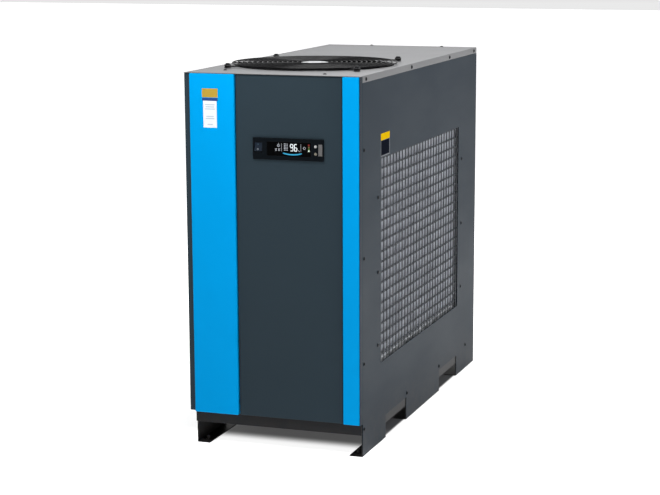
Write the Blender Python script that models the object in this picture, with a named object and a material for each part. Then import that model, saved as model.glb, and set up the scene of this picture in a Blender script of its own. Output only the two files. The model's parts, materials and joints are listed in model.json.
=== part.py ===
"""Refrigerated compressed-air dryer, built as separate parts.

Metres, +Z up. The front faces -Y and the air intake is on the +X side. The origin is on the floor,
below the middle of the whole machine, pipe flanges included. Heights are measured from the floor and
depths from the front face of the blue panels, which is at Y = FRONT.
"""
import math

import bmesh
import bpy
from mathutils import Matrix, Vector

# Driving dimensions
WIDTH = 0.605                   # left side panel's face to right side panel's face
BODY_DEPTH = 1.442              # blue panels' face to rear panel's face
PORT_REACH = 0.075              # how far the pipe flanges stand behind the rear panel
HEIGHT = 1.250                  # floor to top of the top cover
SHEET = 0.0018                  # cabinet sheet thickness
GAP = 0.0004                    # clearance between parts that touch
SEAM = 0.003                    # visible joint between panels

DEPTH = BODY_DEPTH + PORT_REACH
LEFT = -WIDTH / 2
RIGHT = WIDTH / 2
FRONT = -DEPTH / 2
REAR = FRONT + BODY_DEPTH

# Cabinet
TRAY_LEFT = 0.020               # thickness of the hung left side panel
FASCIA = 0.0265                 # depth of the front panels
PANEL_START = FRONT + 0.0275    # front edge of the right side panel
TRAY_START = FRONT + 0.007      # front edge of the left side panel
ROOF_START = FRONT + 0.003      # front edge of the top cover
PANEL_END = REAR - 0.0005
CABINET_LOW = 0.116             # lower edge of the left and rear panels
COVER_SKIRT = 0.022             # height of the top cover's flanges
PANEL_TOP = HEIGHT - COVER_SKIRT - 0.0005
UNDER_ROOF = HEIGHT - SHEET - GAP
FRAME_LEFT = LEFT + TRAY_LEFT + GAP
FRAME_RIGHT = RIGHT - SHEET - GAP
POST_LEG = 0.042

# Base
RAIL_HEIGHT = 0.1103
RAIL_LEFT = LEFT + 0.016
RAIL_END = PANEL_END - 0.006
FOOT_WIDTH = 0.045
FOOT_THICK = 0.003
FOOT_BOLT = (0.0062, 0.017)     # radius and top of the levelling bolts
FORK_STARTS = (0.277, 0.942)    # depth of each fork notch's front end
FORK_LENGTH = 0.240
FORK_HEIGHT = 0.050             # notch in the rails
PANEL_NOTCH_HEIGHT = 0.080      # taller notch in the right side panel
SKIRT_LOW = 0.075
PAN_TOP = 0.1125

# Screw heads, as (depth from the front, height) on the sides and (x, depth) or (x, height) elsewhere
SCREW_RADIUS = 0.0065
SCREW_HEIGHT = 0.003
RIGHT_SCREWS = ((0.042, 1.013), (0.042, 0.661), (0.042, 0.312), (0.042, 0.092), (0.189, 0.840),
                (0.189, 0.590), (0.187, 0.343), (1.235, 0.840), (1.235, 0.592), (1.235, 0.344),
                (0.526, 0.095), (0.939, 0.095), (1.314, 0.095))
LEFT_SCREWS = ((0.045, 1.013), (0.045, 0.661), (0.045, 0.312), (1.400, 1.013), (1.400, 0.661),
               (1.400, 0.312), (0.063, 1.236), (0.567, 1.236), (1.052, 1.236), (1.400, 1.236))
COVER_SCREWS = ((0.063, 1.238), (0.567, 1.238), (1.052, 1.238), (1.400, 1.238))
ROOF_SCREWS = ((-0.2030, 0.118), (0.1655, 0.058), (-0.1210, 1.428), (0.1655, 1.428))
REAR_SCREWS = ((-0.265, 0.135), (-0.265, 0.700), (-0.265, 1.210), (-0.020, 0.135), (-0.020, 0.700),
               (-0.020, 1.210), (0.283, 0.135), (0.283, 0.700), (0.283, 1.210))

# Front panels
FASCIA_LOW = 0.1135
BLUE_LEFT_WIDTH = 0.156
BLUE_RIGHT_WIDTH = 0.057
CENTRE_RECESS = 0.008
FRONT_START = FRAME_LEFT
FRONT_END = RIGHT - SHEET - 0.0003

# Controller
BEZEL_X = (-0.0630, 0.1790)
BEZEL_Z = (0.976, 1.046)
BEZEL_FACE = FRONT + 0.0015
LENS_X = (-0.0139, 0.1364)
LENS_Z = (0.989, 1.035)
ROCKER_CENTRE = (-0.0446, FRONT + 0.0100, 1.0155)
ROCKER_SIZE = (0.027, 0.0296)
ROCKER_TILT = -8.0
BUTTON_X = 0.1525
BUTTON_Z = (1.023, 0.9995)
BUTTON_RADIUS = 0.0045
FLAP_X = (0.1615, 0.1755)
FLAP_Z = (0.993, 1.031)

# Air intake
OPENING_Y = (FRONT + 0.2185, FRONT + 1.188)
OPENING_Z = (0.276, 0.966)
SCREEN_MARGIN = 0.014
SCREEN_THICK = 0.0042
CORE_X = (0.225, 0.285)
CORE_Y = (FRONT + 0.190, FRONT + 1.266)
CORE_Z = (0.285, 0.985)
CORE_FRAME = 0.0025

# Fan
FAN_Y = FRONT + 0.425
FAN_HOLE = 0.272
SHROUD_RADIUS = 0.275
SHROUD_Z = (1.135, 1.2475)
BLADE_TIP = 0.262
HUB_RADIUS = 0.072
GUARD_RADIUS = 0.283
GUARD_Z = (1.2568, 1.2608)
FOOT_RADIUS = 0.321

# Refrigeration and air circuit
COMPRESSOR = (-0.10, FRONT + 0.70)
SHELL_RADIUS = 0.090
EXCHANGER_X = (-0.255, -0.020)
EXCHANGER_Y = (FRONT + 0.950, FRONT + 1.350)
EXCHANGER_Z = (0.360, 1.060)
RECEIVER = (0.12, FRONT + 0.85)
DRIER = (0.12, FRONT + 1.05)
SEPARATOR = (-0.1375, FRONT + 1.15)
PORT_X = -0.1375
INLET_Z = 0.900
OUTLET_Z = 0.520
PIPE_OUTER = 0.04445
PIPE_BORE = 0.039
FLANGE_RADIUS = 0.09525
FLANGE_THICK = 0.024
FLANGE_BOLT_CIRCLE = 0.0762
FLANGE_HOLE = 0.0095
DRAIN = (0.05, 0.15)            # x and height of the condensate drain
GLAND = (0.17, 0.30)            # x and height of the mains cable gland

LOOKS = {
    "blue_paint": ((0.0, 0.30, 0.80), 0.35, 0.0),
    "charcoal_paint": ((0.035, 0.045, 0.055), 0.45, 0.0),
    "panel_paint": ((0.075, 0.082, 0.090), 0.45, 0.0),
    "black_paint": ((0.012, 0.012, 0.013), 0.45, 0.0),
    "black_plastic": ((0.010, 0.011, 0.013), 0.40, 0.0),
    "lens": ((0.004, 0.004, 0.005), 0.08, 0.0),
    "white_plastic": ((0.70, 0.70, 0.68), 0.40, 0.0),
    "grey_rubber": ((0.20, 0.20, 0.21), 0.80, 0.0),
    "black_rubber": ((0.015, 0.015, 0.015), 0.85, 0.0),
    "aluminium": ((0.62, 0.64, 0.66), 0.35, 1.0),
    "galvanised": ((0.50, 0.52, 0.54), 0.45, 1.0),
    "copper": ((0.72, 0.36, 0.20), 0.30, 1.0),
    "brass": ((0.72, 0.55, 0.25), 0.30, 1.0),
    "steel": ((0.45, 0.46, 0.48), 0.35, 1.0),
    "red_lever": ((0.55, 0.03, 0.02), 0.45, 0.0),
}


# Scene and objects

def clear_scene():
    for item in list(bpy.data.objects):
        bpy.data.objects.remove(item, do_unlink=True)


def give_material(item, look):
    colour, roughness, metallic = LOOKS[look]
    surface = bpy.data.materials.new(item.name + "_" + look)
    surface.use_nodes = True
    shader = surface.node_tree.nodes["Principled BSDF"]
    shader.inputs["Base Color"].default_value = (*colour, 1.0)
    shader.inputs["Roughness"].default_value = roughness
    shader.inputs["Metallic"].default_value = metallic
    item.data.materials.append(surface)


def add_object(name, shape, look=None, location=(0, 0, 0), smooth=False):
    """Turn a bmesh into a named object."""
    mesh = bpy.data.meshes.new(name)
    shape.to_mesh(mesh)
    shape.free()
    item = bpy.data.objects.new(name, mesh)
    bpy.context.scene.collection.objects.link(item)
    item.location = location
    if look:
        give_material(item, look)
    if smooth:
        mesh.shade_smooth()
        mesh.set_sharp_from_angle(angle=math.radians(35))
    return item


def combine(item, shape, operation, location=(0, 0, 0)):
    """Cut a shape out of an object, or weld it on, with a Boolean."""
    helper = add_object(f"{item.name}_{operation.lower()}_{len(item.modifiers)}", shape,
                        location=location)
    helper.hide_render = True
    helper.display_type = "WIRE"
    step = item.modifiers.new(operation.title(), "BOOLEAN")
    step.operation = operation
    step.object = helper


def cut(item, shape, location=(0, 0, 0)):
    combine(item, shape, "DIFFERENCE", location)


def weld(item, shape, location=(0, 0, 0)):
    combine(item, shape, "UNION", location)


# Shapes

def face_out(shape):
    bmesh.ops.recalc_face_normals(shape, faces=shape.faces[:])
    return shape


def box(low, high):
    """A box between two corners."""
    shape = bmesh.new()
    size = [top - bottom for bottom, top in zip(low, high)]
    middle = [(top + bottom) / 2 for bottom, top in zip(low, high)]
    place = Matrix.Translation(middle) @ Matrix.Diagonal((*size, 1.0))
    bmesh.ops.create_cube(shape, size=1.0, matrix=place)
    return shape


def lift(u, v, w, axis):
    """Place a 2-D point at distance w along an axis."""
    return {"X": Vector((w, u, v)), "Y": Vector((u, w, v)), "Z": Vector((u, v, w))}[axis]


def plate(outline, holes, start, end, axis):
    """A flat plate with holes; its thickness runs along the axis from start to end."""
    shape = bmesh.new()
    edges = []
    for loop in [outline] + holes:
        corners = [shape.verts.new(lift(u, v, start, axis)) for u, v in loop]
        for first, second in zip(corners, corners[1:] + corners[:1]):
            edges.append(shape.edges.new((first, second)))
    bmesh.ops.triangle_fill(shape, use_beauty=True, use_dissolve=False, edges=edges)
    made = bmesh.ops.extrude_face_region(shape, geom=shape.faces[:])
    moved = [part for part in made["geom"] if isinstance(part, bmesh.types.BMVert)]
    bmesh.ops.translate(shape, vec=lift(0, 0, end - start, axis), verts=moved)
    return face_out(shape)


def rectangle(u_range, v_range):
    (u0, u1), (v0, v1) = u_range, v_range
    return [(u0, v0), (u1, v0), (u1, v1), (u0, v1)]


def circle(centre_u, centre_v, radius, sides):
    turn = 2 * math.pi / sides
    return [(centre_u + radius * math.cos(step * turn), centre_v + radius * math.sin(step * turn))
            for step in range(sides)]


def aim(shape, axis):
    """Turn a shape made about Z so that it points along X or Y."""
    turns = {"X": (math.pi / 2, "Y"), "Y": (-math.pi / 2, "X")}
    if axis in turns:
        bmesh.ops.transform(shape, matrix=Matrix.Rotation(turns[axis][0], 4, turns[axis][1]),
                            verts=shape.verts[:])
    return shape


def lathe(profile, sides, axis="Z", ring=False):
    """Turn a profile of (radius, height) points; a ring's profile is a closed loop."""
    shape = bmesh.new()
    loops = []
    for radius, height in profile:
        if radius == 0:
            loops.append([shape.verts.new((0, 0, height))])
        else:
            loops.append([shape.verts.new((x, y, height)) for x, y in circle(0, 0, radius, sides)])
    pairs = list(zip(loops, loops[1:]))
    if ring:
        pairs.append((loops[-1], loops[0]))
    for lower, upper in pairs:
        for step in range(sides):
            after = (step + 1) % sides
            corners = [lower[step % len(lower)], lower[after % len(lower)],
                       upper[after % len(upper)], upper[step % len(upper)]]
            corners = list(dict.fromkeys(corners))
            if len(corners) > 2:
                shape.faces.new(corners)
    return aim(face_out(shape), axis)


def cylinder(radius, start, end, sides, axis="Z"):
    return lathe([(0, start), (radius, start), (radius, end), (0, end)], sides, axis)


def round_corners(points, bend, steps=4):
    """A path through the points with each corner replaced by an arc."""
    path = [Vector(points[0])]
    for before, corner, after in zip(points, points[1:], points[2:]):
        arriving = (Vector(corner) - Vector(before)).normalized()
        leaving = (Vector(after) - Vector(corner)).normalized()
        angle = arriving.angle(leaving)
        start = Vector(corner) - arriving * bend * math.tan(angle / 2)
        sideways = (leaving - arriving * math.cos(angle)).normalized()
        for step in range(steps + 1):
            turn = angle * step / steps
            path.append(start + bend * (math.sin(turn) * arriving + (1 - math.cos(turn)) * sideways))
    path.append(Vector(points[-1]))
    return path


def pipe(points, radius, bend, sides=10):
    """A round pipe along straight runs and bends, closed at both ends."""
    path = round_corners(points, bend)
    shape = bmesh.new()
    rings = []
    across = None
    for index, place in enumerate(path):
        ahead = path[min(index + 1, len(path) - 1)]
        behind = path[max(index - 1, 0)]
        along = (ahead - behind).normalized()
        if index == 0:
            across = along.orthogonal().normalized()
        across = (across - along * across.dot(along)).normalized()
        upward = along.cross(across)
        rings.append([shape.verts.new(place + across * u + upward * v)
                      for u, v in circle(0, 0, radius, sides)])
    for near, far in zip(rings, rings[1:]):
        for step in range(sides):
            after = (step + 1) % sides
            shape.faces.new((near[step], near[after], far[after], far[step]))
    shape.faces.new(list(reversed(rings[0])))
    shape.faces.new(rings[-1])
    return face_out(shape)


def screw_heads(item, spots, face, outward, axis):
    """Weld low screw heads onto a flat face that looks outward, +1 or -1, along an axis."""
    heads = bmesh.new()
    for spot in spots:
        root = face - outward * 0.0005
        shoulder = face + outward * (SCREW_HEIGHT - 0.0012)
        crown = face + outward * SCREW_HEIGHT
        head = lathe([(0, root), (SCREW_RADIUS, root), (SCREW_RADIUS, shoulder),
                      (SCREW_RADIUS - 0.0012, crown), (0, crown)], 10, axis)
        bmesh.ops.translate(head, vec=lift(*spot, 0, axis), verts=head.verts[:])
        mesh = bpy.data.meshes.new("head")
        head.to_mesh(mesh)
        head.free()
        heads.from_mesh(mesh)
        bpy.data.meshes.remove(mesh)
    weld(item, heads)


def from_front(spots):
    """Places given as (depth, height), as Y and Z."""
    return [(FRONT + depth, height) for depth, height in spots]


# Base

def rail(name, outer_x, inward):
    """One folded base rail with two levelling bolts; inward is +1 when its flanges point to +X."""
    web = outer_x + inward * 0.002
    flange = outer_x + inward * FOOT_WIDTH
    outline = [(outer_x, 0), (flange, 0), (flange, FOOT_THICK), (web, FOOT_THICK),
               (web, RAIL_HEIGHT - FOOT_THICK), (flange, RAIL_HEIGHT - FOOT_THICK),
               (flange, RAIL_HEIGHT), (outer_x, RAIL_HEIGHT)]
    item = add_object(name, plate(outline, [], PANEL_START, RAIL_END, "Y"), "black_paint")
    low_x, high_x = sorted((outer_x - inward * 0.01, flange + inward * 0.01))
    for start in FORK_STARTS:
        cut(item, box((low_x, FRONT + start, -0.01),
                      (high_x, FRONT + start + FORK_LENGTH, FORK_HEIGHT)))
    middle = (web + flange) / 2
    for depth in (PANEL_START + 0.035, RAIL_END - 0.035):
        weld(item, cylinder(FOOT_BOLT[0], 0.001, FOOT_BOLT[1], 12), (middle, depth, 0))


def base_pan():
    """Floor sheet with a down-turned skirt at the front and rear."""
    start = FRONT + 0.020
    end = PANEL_END - 0.003
    outline = [(start, PAN_TOP), (end, PAN_TOP), (end, SKIRT_LOW), (end - SHEET, SKIRT_LOW),
               (end - SHEET, PAN_TOP - SHEET), (start + SHEET, PAN_TOP - SHEET),
               (start + SHEET, SKIRT_LOW), (start, SKIRT_LOW)]
    add_object("base_pan", plate(outline, [], RAIL_LEFT, FRAME_RIGHT, "X"), "black_paint")


def corner_posts():
    """Four folded angles; the front right one also closes the cabinet's visible corner."""
    bottom = PAN_TOP + GAP
    top = UNDER_ROOF
    sheet = SHEET
    front = FRONT + FASCIA + GAP
    rear = REAR - SHEET - 0.0007
    corner = RIGHT
    step = FRONT + 0.0250
    outlines = {
        "front_left_post": [(FRAME_LEFT, front), (FRAME_LEFT + POST_LEG, front),
                            (FRAME_LEFT + POST_LEG, front + sheet), (FRAME_LEFT + sheet, front + sheet),
                            (FRAME_LEFT + sheet, front + POST_LEG), (FRAME_LEFT, front + POST_LEG)],
        "front_right_post": [(corner, FRONT), (corner, step + sheet), (FRAME_RIGHT, step + sheet),
                             (FRAME_RIGHT, front + POST_LEG), (FRAME_RIGHT - sheet, front + POST_LEG),
                             (FRAME_RIGHT - sheet, step), (corner - sheet, step),
                             (corner - sheet, FRONT)],
        "rear_left_post": [(FRAME_LEFT, rear), (FRAME_LEFT, rear - POST_LEG),
                           (FRAME_LEFT + sheet, rear - POST_LEG), (FRAME_LEFT + sheet, rear - sheet),
                           (FRAME_LEFT + POST_LEG, rear - sheet), (FRAME_LEFT + POST_LEG, rear)],
        "rear_right_post": [(FRAME_RIGHT, rear), (FRAME_RIGHT - POST_LEG, rear),
                            (FRAME_RIGHT - POST_LEG, rear - sheet),
                            (FRAME_RIGHT - sheet, rear - sheet),
                            (FRAME_RIGHT - sheet, rear - POST_LEG), (FRAME_RIGHT, rear - POST_LEG)],
    }
    for name, outline in outlines.items():
        add_object(name, plate(outline, [], bottom, top, "Z"), "panel_paint")


# Cabinet panels

def tray(name, low, high, open_side, look):
    """A folded tray: a box hollowed from one side, named as +X, -X, +Y or -Z."""
    item = add_object(name, box(low, high), look)
    inner_low = [value + SHEET for value in low]
    inner_high = [value - SHEET for value in high]
    index = "XYZ".index(open_side[1])
    if open_side[0] == "+":
        inner_high[index] = high[index] + 0.01
    else:
        inner_low[index] = low[index] - 0.01
    cut(item, box(inner_low, inner_high))
    return item


def front_panels():
    back = FRONT + FASCIA - SHEET
    left_end = FRONT_START + BLUE_LEFT_WIDTH
    right_start = FRONT_END - BLUE_RIGHT_WIDTH
    tray("front_left_panel", (FRONT_START, FRONT, FASCIA_LOW), (left_end, back, UNDER_ROOF),
         "+Y", "blue_paint")
    tray("front_right_panel", (right_start, FRONT, FASCIA_LOW), (FRONT_END, back, UNDER_ROOF),
         "+Y", "blue_paint")
    centre = tray("front_center_panel", (left_end + SEAM, FRONT + CENTRE_RECESS, FASCIA_LOW),
                  (right_start - SEAM, back, UNDER_ROOF), "+Y", "charcoal_paint")
    cut(centre, box((BEZEL_X[0] + 0.003, FRONT - 0.01, BEZEL_Z[0] + 0.003),
                    (BEZEL_X[1] - 0.003, FRONT + 0.012, BEZEL_Z[1] - 0.003)))


def left_side_panel():
    item = tray("left_side_panel", (LEFT, TRAY_START, CABINET_LOW),
                (LEFT + TRAY_LEFT, PANEL_END, UNDER_ROOF), "+X", "panel_paint")
    screw_heads(item, from_front(LEFT_SCREWS), LEFT, -1, "X")


def right_side_panel():
    """Flush skin down to the floor, with the intake opening and two fork notches."""
    low = 0.001
    outline = [(PANEL_START, low)]
    for start in FORK_STARTS:
        near = FRONT + start
        far = near + FORK_LENGTH
        outline += [(near, low), (near, PANEL_NOTCH_HEIGHT), (far, PANEL_NOTCH_HEIGHT), (far, low)]
    outline += [(PANEL_END, low), (PANEL_END, PANEL_TOP), (PANEL_START, PANEL_TOP)]
    opening = rectangle(OPENING_Y, OPENING_Z)
    item = add_object("right_side_panel", plate(outline, [opening], RIGHT - SHEET, RIGHT, "X"),
                      "panel_paint")
    screw_heads(item, from_front(RIGHT_SCREWS), RIGHT, 1, "X")


def rear_panel():
    holes = [circle(PORT_X, height, 0.052, 32) for height in (INLET_Z, OUTLET_Z)]
    holes.append(circle(*DRAIN, 0.011, 16))
    holes.append(circle(*GLAND, 0.012, 16))
    outline = rectangle((FRAME_LEFT, FRAME_RIGHT), (CABINET_LOW, PANEL_TOP))
    item = add_object("rear_panel", plate(outline, holes, REAR - SHEET, REAR, "Y"), "panel_paint")
    screw_heads(item, REAR_SCREWS, REAR, 1, "Y")


def top_cover():
    """Roof sheet with a flange on the right and at the rear, and the fan hole."""
    low = HEIGHT - COVER_SKIRT
    item = add_object("top_cover", box((LEFT, ROOF_START, low), (RIGHT, REAR, HEIGHT)), "panel_paint")
    inner_x = RIGHT - SHEET
    inner_y = REAR - SHEET
    beside = 0.01
    outline = [(LEFT - beside, ROOF_START - beside), (RIGHT + beside, ROOF_START - beside),
               (RIGHT + beside, PANEL_START), (inner_x, PANEL_START), (inner_x, inner_y),
               (FRAME_LEFT, inner_y), (FRAME_LEFT, REAR + beside), (LEFT - beside, REAR + beside)]
    cut(item, plate(outline, [], low - beside, HEIGHT - SHEET, "Z"))
    cut(item, cylinder(FAN_HOLE, HEIGHT - 0.01, HEIGHT + 0.01, 48), (0, FAN_Y, 0))
    screw_heads(item, from_front(COVER_SCREWS), RIGHT, 1, "X")
    screw_heads(item, [(x, FRONT + depth) for x, depth in ROOF_SCREWS], HEIGHT, 1, "Z")


# Air intake and condenser

def intake_screen():
    """Stiff grid behind the side opening."""
    outer_y = (OPENING_Y[0] - SCREEN_MARGIN, OPENING_Y[1] + SCREEN_MARGIN)
    outer_z = (OPENING_Z[0] - SCREEN_MARGIN, OPENING_Z[1] + SCREEN_MARGIN)
    columns = 14
    rows = 10
    bar = 0.006
    pitch_y = (outer_y[1] - outer_y[0] - bar) / columns
    pitch_z = (outer_z[1] - outer_z[0] - bar) / rows
    holes = []
    for column in range(columns):
        start_y = outer_y[0] + bar + column * pitch_y
        for row in range(rows):
            start_z = outer_z[0] + bar + row * pitch_z
            holes.append(rectangle((start_y, start_y + pitch_y - bar), (start_z, start_z + pitch_z - bar)))
    outer = FRAME_RIGHT
    add_object("intake_screen",
               plate(rectangle(outer_y, outer_z), holes, outer - SCREEN_THICK, outer, "X"),
               "black_paint")


def condenser():
    """Fin block in a sheet frame that stands on two legs."""
    add_object("condenser_core", box(*zip(CORE_X, CORE_Y, CORE_Z)), "aluminium")
    inner_y = (CORE_Y[0] - GAP, CORE_Y[1] + GAP)
    inner_z = (CORE_Z[0] - GAP, CORE_Z[1] + GAP)
    outer_y = (inner_y[0] - CORE_FRAME, inner_y[1] + CORE_FRAME)
    outer_z = (inner_z[0] - 0.030, inner_z[1] + CORE_FRAME)
    leg = 0.040
    floor = PAN_TOP + GAP
    outline = [(outer_y[0], floor), (outer_y[0] + leg, floor), (outer_y[0] + leg, outer_z[0]),
               (outer_y[1] - leg, outer_z[0]), (outer_y[1] - leg, floor), (outer_y[1], floor),
               (outer_y[1], outer_z[1]), (outer_y[0], outer_z[1])]
    hole = rectangle(inner_y, inner_z)
    add_object("condenser_frame",
               plate(outline, [hole], CORE_X[0] - 0.003, CORE_X[1] + 0.003, "X"), "galvanised")


# Fan

def guard_outline(sides, arm_half_angle):
    """A circle with four short arms on the diagonals."""
    outline = []
    for quarter in range(4):
        centre = math.pi / 4 + quarter * math.pi / 2
        reach = FOOT_RADIUS - 0.0125
        outline.append((GUARD_RADIUS, centre - arm_half_angle))
        outline.append((reach, centre - arm_half_angle * GUARD_RADIUS / reach))
        outline.append((reach, centre + arm_half_angle * GUARD_RADIUS / reach))
        outline.append((GUARD_RADIUS, centre + arm_half_angle))
        for step in range(1, sides):
            span = math.pi / 2 - 2 * arm_half_angle
            outline.append((GUARD_RADIUS, centre + arm_half_angle + span * step / sides))
    return [(radius * math.cos(turn), FAN_Y + radius * math.sin(turn)) for radius, turn in outline]


def sector(inner, outer, start, end, steps):
    """A hole between two radii and two angles."""
    angles = [start + (end - start) * step / steps for step in range(steps + 1)]
    loop = [(outer * math.cos(turn), FAN_Y + outer * math.sin(turn)) for turn in angles]
    loop += [(inner * math.cos(turn), FAN_Y + inner * math.sin(turn)) for turn in reversed(angles)]
    return loop


def fan_guard():
    """Flat ring guard: hub disc, spokes and rings."""
    bands = 8
    hub = 0.047
    ring = 0.004
    pitch = (GUARD_RADIUS - 0.005 + ring - hub) / bands
    spokes = 8
    half_spoke = 0.0025
    holes = []
    for band in range(bands):
        inner = hub + band * pitch
        outer = inner + pitch - ring
        margin = half_spoke / inner
        for index in range(spokes):
            start = index * 2 * math.pi / spokes + margin
            holes.append(sector(inner, outer, start, start + 2 * math.pi / spokes - 2 * margin, 4))
    add_object("fan_guard", plate(guard_outline(8, 0.03), holes, *GUARD_Z, "Z"), "black_paint")


def guard_feet():
    """Four rubber-cushioned feet, each with its bolt head, on the diagonals."""
    reach = FOOT_RADIUS * math.cos(math.pi / 4)
    base = HEIGHT + GAP
    for name, side, depth in (("front_left", -1, -1), ("front_right", 1, -1),
                              ("rear_right", 1, 1), ("rear_left", -1, 1)):
        profile = [(0, base), (0.0115, base), (0.0115, base + 0.0065), (0.0095, base + 0.0085),
                   (0.0095, base + 0.0140), (0.0070, base + 0.0168), (0, base + 0.0168)]
        add_object(f"guard_foot_{name}", lathe(profile, 16), "black_plastic",
                   (side * reach, FAN_Y + depth * reach, 0), smooth=True)


def fan_shroud():
    low, high = SHROUD_Z
    profile = [(SHROUD_RADIUS, low), (SHROUD_RADIUS + 0.002, low), (SHROUD_RADIUS + 0.002, high - 0.002),
               (0.2815, high - 0.002), (0.2815, high), (SHROUD_RADIUS, high)]
    add_object("fan_shroud", lathe(profile, 48, ring=True), "black_paint", (0, FAN_Y, 0), smooth=True)


def motor_bracket():
    """Ring with four arms under the shroud."""
    low = SHROUD_Z[0] - 0.0074
    high = SHROUD_Z[0] - GAP
    item = add_object("motor_bracket",
                      lathe([(0.030, low), (0.062, low), (0.062, high), (0.030, high)], 32, ring=True),
                      "galvanised", (0, FAN_Y, 0))
    for quarter in range(4):
        arm = box((0.050, -0.0125, low + 0.0005), (SHROUD_RADIUS + 0.002, 0.0125, high - 0.0003))
        bmesh.ops.rotate(arm, verts=arm.verts[:], cent=(0, 0, 0),
                         matrix=Matrix.Rotation(math.pi / 4 + quarter * math.pi / 2, 3, "Z"))
        weld(item, arm, (0, FAN_Y, 0))


def fan_motor():
    """Motor can below the bracket with its shaft through it."""
    top = SHROUD_Z[0] - 0.0078
    profile = [(0, top - 0.070), (0.058, top - 0.070), (0.066, top - 0.062), (0.066, top),
               (0.007, top), (0.007, top + 0.045), (0, top + 0.045)]
    add_object("fan_motor", lathe(profile, 32), "black_paint", (0, FAN_Y, 0), smooth=True)


def blade(turn):
    """One pitched, swept blade as a thin closed solid."""
    shape = bmesh.new()
    spans = 5
    chords = 5
    thickness = 0.0028
    layers = []
    for side in (0, 1):
        grid = []
        for span in range(spans + 1):
            share = span / spans
            radius = HUB_RADIUS - 0.004 + (BLADE_TIP - HUB_RADIUS + 0.004) * share
            half_angle = math.radians(27.0 + 2.0 * share)
            rise = 0.034 - 0.010 * share
            sweep = math.radians(14.0) * share * share
            row = []
            for chord in range(chords + 1):
                along = -1 + 2 * chord / chords
                angle = turn + sweep + along * half_angle
                camber = 0.008 * (1 - along * along)
                height = SHROUD_Z[0] + 0.050 + rise * along + camber + side * thickness
                row.append(shape.verts.new((radius * math.cos(angle), radius * math.sin(angle), height)))
            grid.append(row)
        layers.append(grid)
    for grid in layers:
        for near, far in zip(grid, grid[1:]):
            for chord in range(chords):
                shape.faces.new((near[chord], near[chord + 1], far[chord + 1], far[chord]))
    edge = rim(layers[0])
    other = rim(layers[1])
    for first, second, third, fourth in zip(edge, edge[1:] + edge[:1], other[1:] + other[:1], other):
        shape.faces.new((first, second, third, fourth))
    return face_out(shape)


def rim(grid):
    """The boundary of a grid of points, in order."""
    last = [row[-1] for row in grid[1:-1]]
    first = [row[0] for row in grid[1:-1]]
    return grid[0] + last + list(reversed(grid[-1])) + list(reversed(first))


def fan_rotor():
    """Hub and five blades, with the origin on the spin axis."""
    low = SHROUD_Z[0] + 0.002
    bore = 0.0074
    profile = [(bore, low), (HUB_RADIUS, low), (HUB_RADIUS, low + 0.080), (HUB_RADIUS - 0.008, low + 0.088),
               (0, low + 0.088), (0, low + 0.042), (bore, low + 0.042)]
    item = add_object("fan_rotor", lathe(profile, 32, ring=True), "black_plastic", (0, FAN_Y, 0),
                      smooth=True)
    for index in range(5):
        weld(item, blade(index * 2 * math.pi / 5), (0, FAN_Y, 0))


# Refrigeration circuit

def compressor():
    x, y = COMPRESSOR
    foot_low = PAN_TOP + 0.0277
    profile = [(0, foot_low + 0.004), (SHELL_RADIUS - 0.010, foot_low + 0.004),
               (SHELL_RADIUS, foot_low + 0.020), (SHELL_RADIUS, 0.500), (SHELL_RADIUS * 0.86, 0.532),
               (SHELL_RADIUS * 0.5, 0.553), (0, 0.560)]
    item = add_object("compressor", lathe(profile, 32), "black_paint", (x, y, 0), smooth=True)
    weld(item, box((-0.115, -0.115, foot_low), (0.115, 0.115, foot_low + 0.006)), (x, y, 0))
    for index, (side, depth) in enumerate(((-1, -1), (1, -1), (1, 1), (-1, 1)), start=1):
        profile = [(0, PAN_TOP + GAP), (0.014, PAN_TOP + GAP), (0.011, PAN_TOP + 0.014),
                   (0.014, foot_low - GAP), (0, foot_low - GAP)]
        add_object(f"compressor_mount_{index}", lathe(profile, 16), "black_rubber",
                   (x + side * 0.098, y + depth * 0.098, 0), smooth=True)
    low = (x - 0.045, y - SHELL_RADIUS - 0.055, 0.300)
    add_object("compressor_terminal_box", box(low, (x + 0.045, y - SHELL_RADIUS - GAP, 0.400)),
               "black_plastic")


def receiver_and_drier():
    floor = PAN_TOP + GAP
    profile = [(0, floor), (0.045, floor), (0.060, floor + 0.022), (0.060, 0.400), (0.045, 0.422),
               (0, 0.430)]
    add_object("liquid_receiver", lathe(profile, 28), "black_paint", (*RECEIVER, 0), smooth=True)
    profile = [(0, 0.250), (0.010, 0.250), (0.010, 0.262), (0.038, 0.280), (0.038, 0.392),
               (0.010, 0.408), (0.010, 0.420), (0, 0.420)]
    add_object("filter_drier", lathe(profile, 24), "steel", (*DRIER, 0), smooth=True)
    profile = [(0, 0.4204), (0.011, 0.4204), (0.016, 0.430), (0.016, 0.452), (0.011, 0.4604),
               (0, 0.4604)]
    add_object("sight_glass", lathe(profile, 8), "brass", (*DRIER, 0))


def valves():
    """Expansion valve on the exchanger's side and hot-gas valve on its front."""
    x = EXCHANGER_X[1] + GAP
    y = DRIER[1]
    length = 0.050
    expansion = add_object("expansion_valve", cylinder(0.016, 0, length, 16, "X"), "brass",
                           (x, y, 0.750), smooth=True)
    weld(expansion, lathe([(0, 0.010), (0.009, 0.010), (0.009, 0.034), (0.024, 0.038), (0.024, 0.048),
                           (0, 0.052)], 20), (x + length / 2, y, 0.750))
    front = EXCHANGER_Y[0] - GAP
    hot_gas = add_object("hot_gas_valve", cylinder(0.013, -0.050, 0, 16, "Y"), "brass",
                         (-0.14, front, 0.620), smooth=True)
    weld(hot_gas, box((-0.020, -0.045, 0.008), (0.020, -0.008, 0.055)), (-0.14, front, 0.620))


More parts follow.
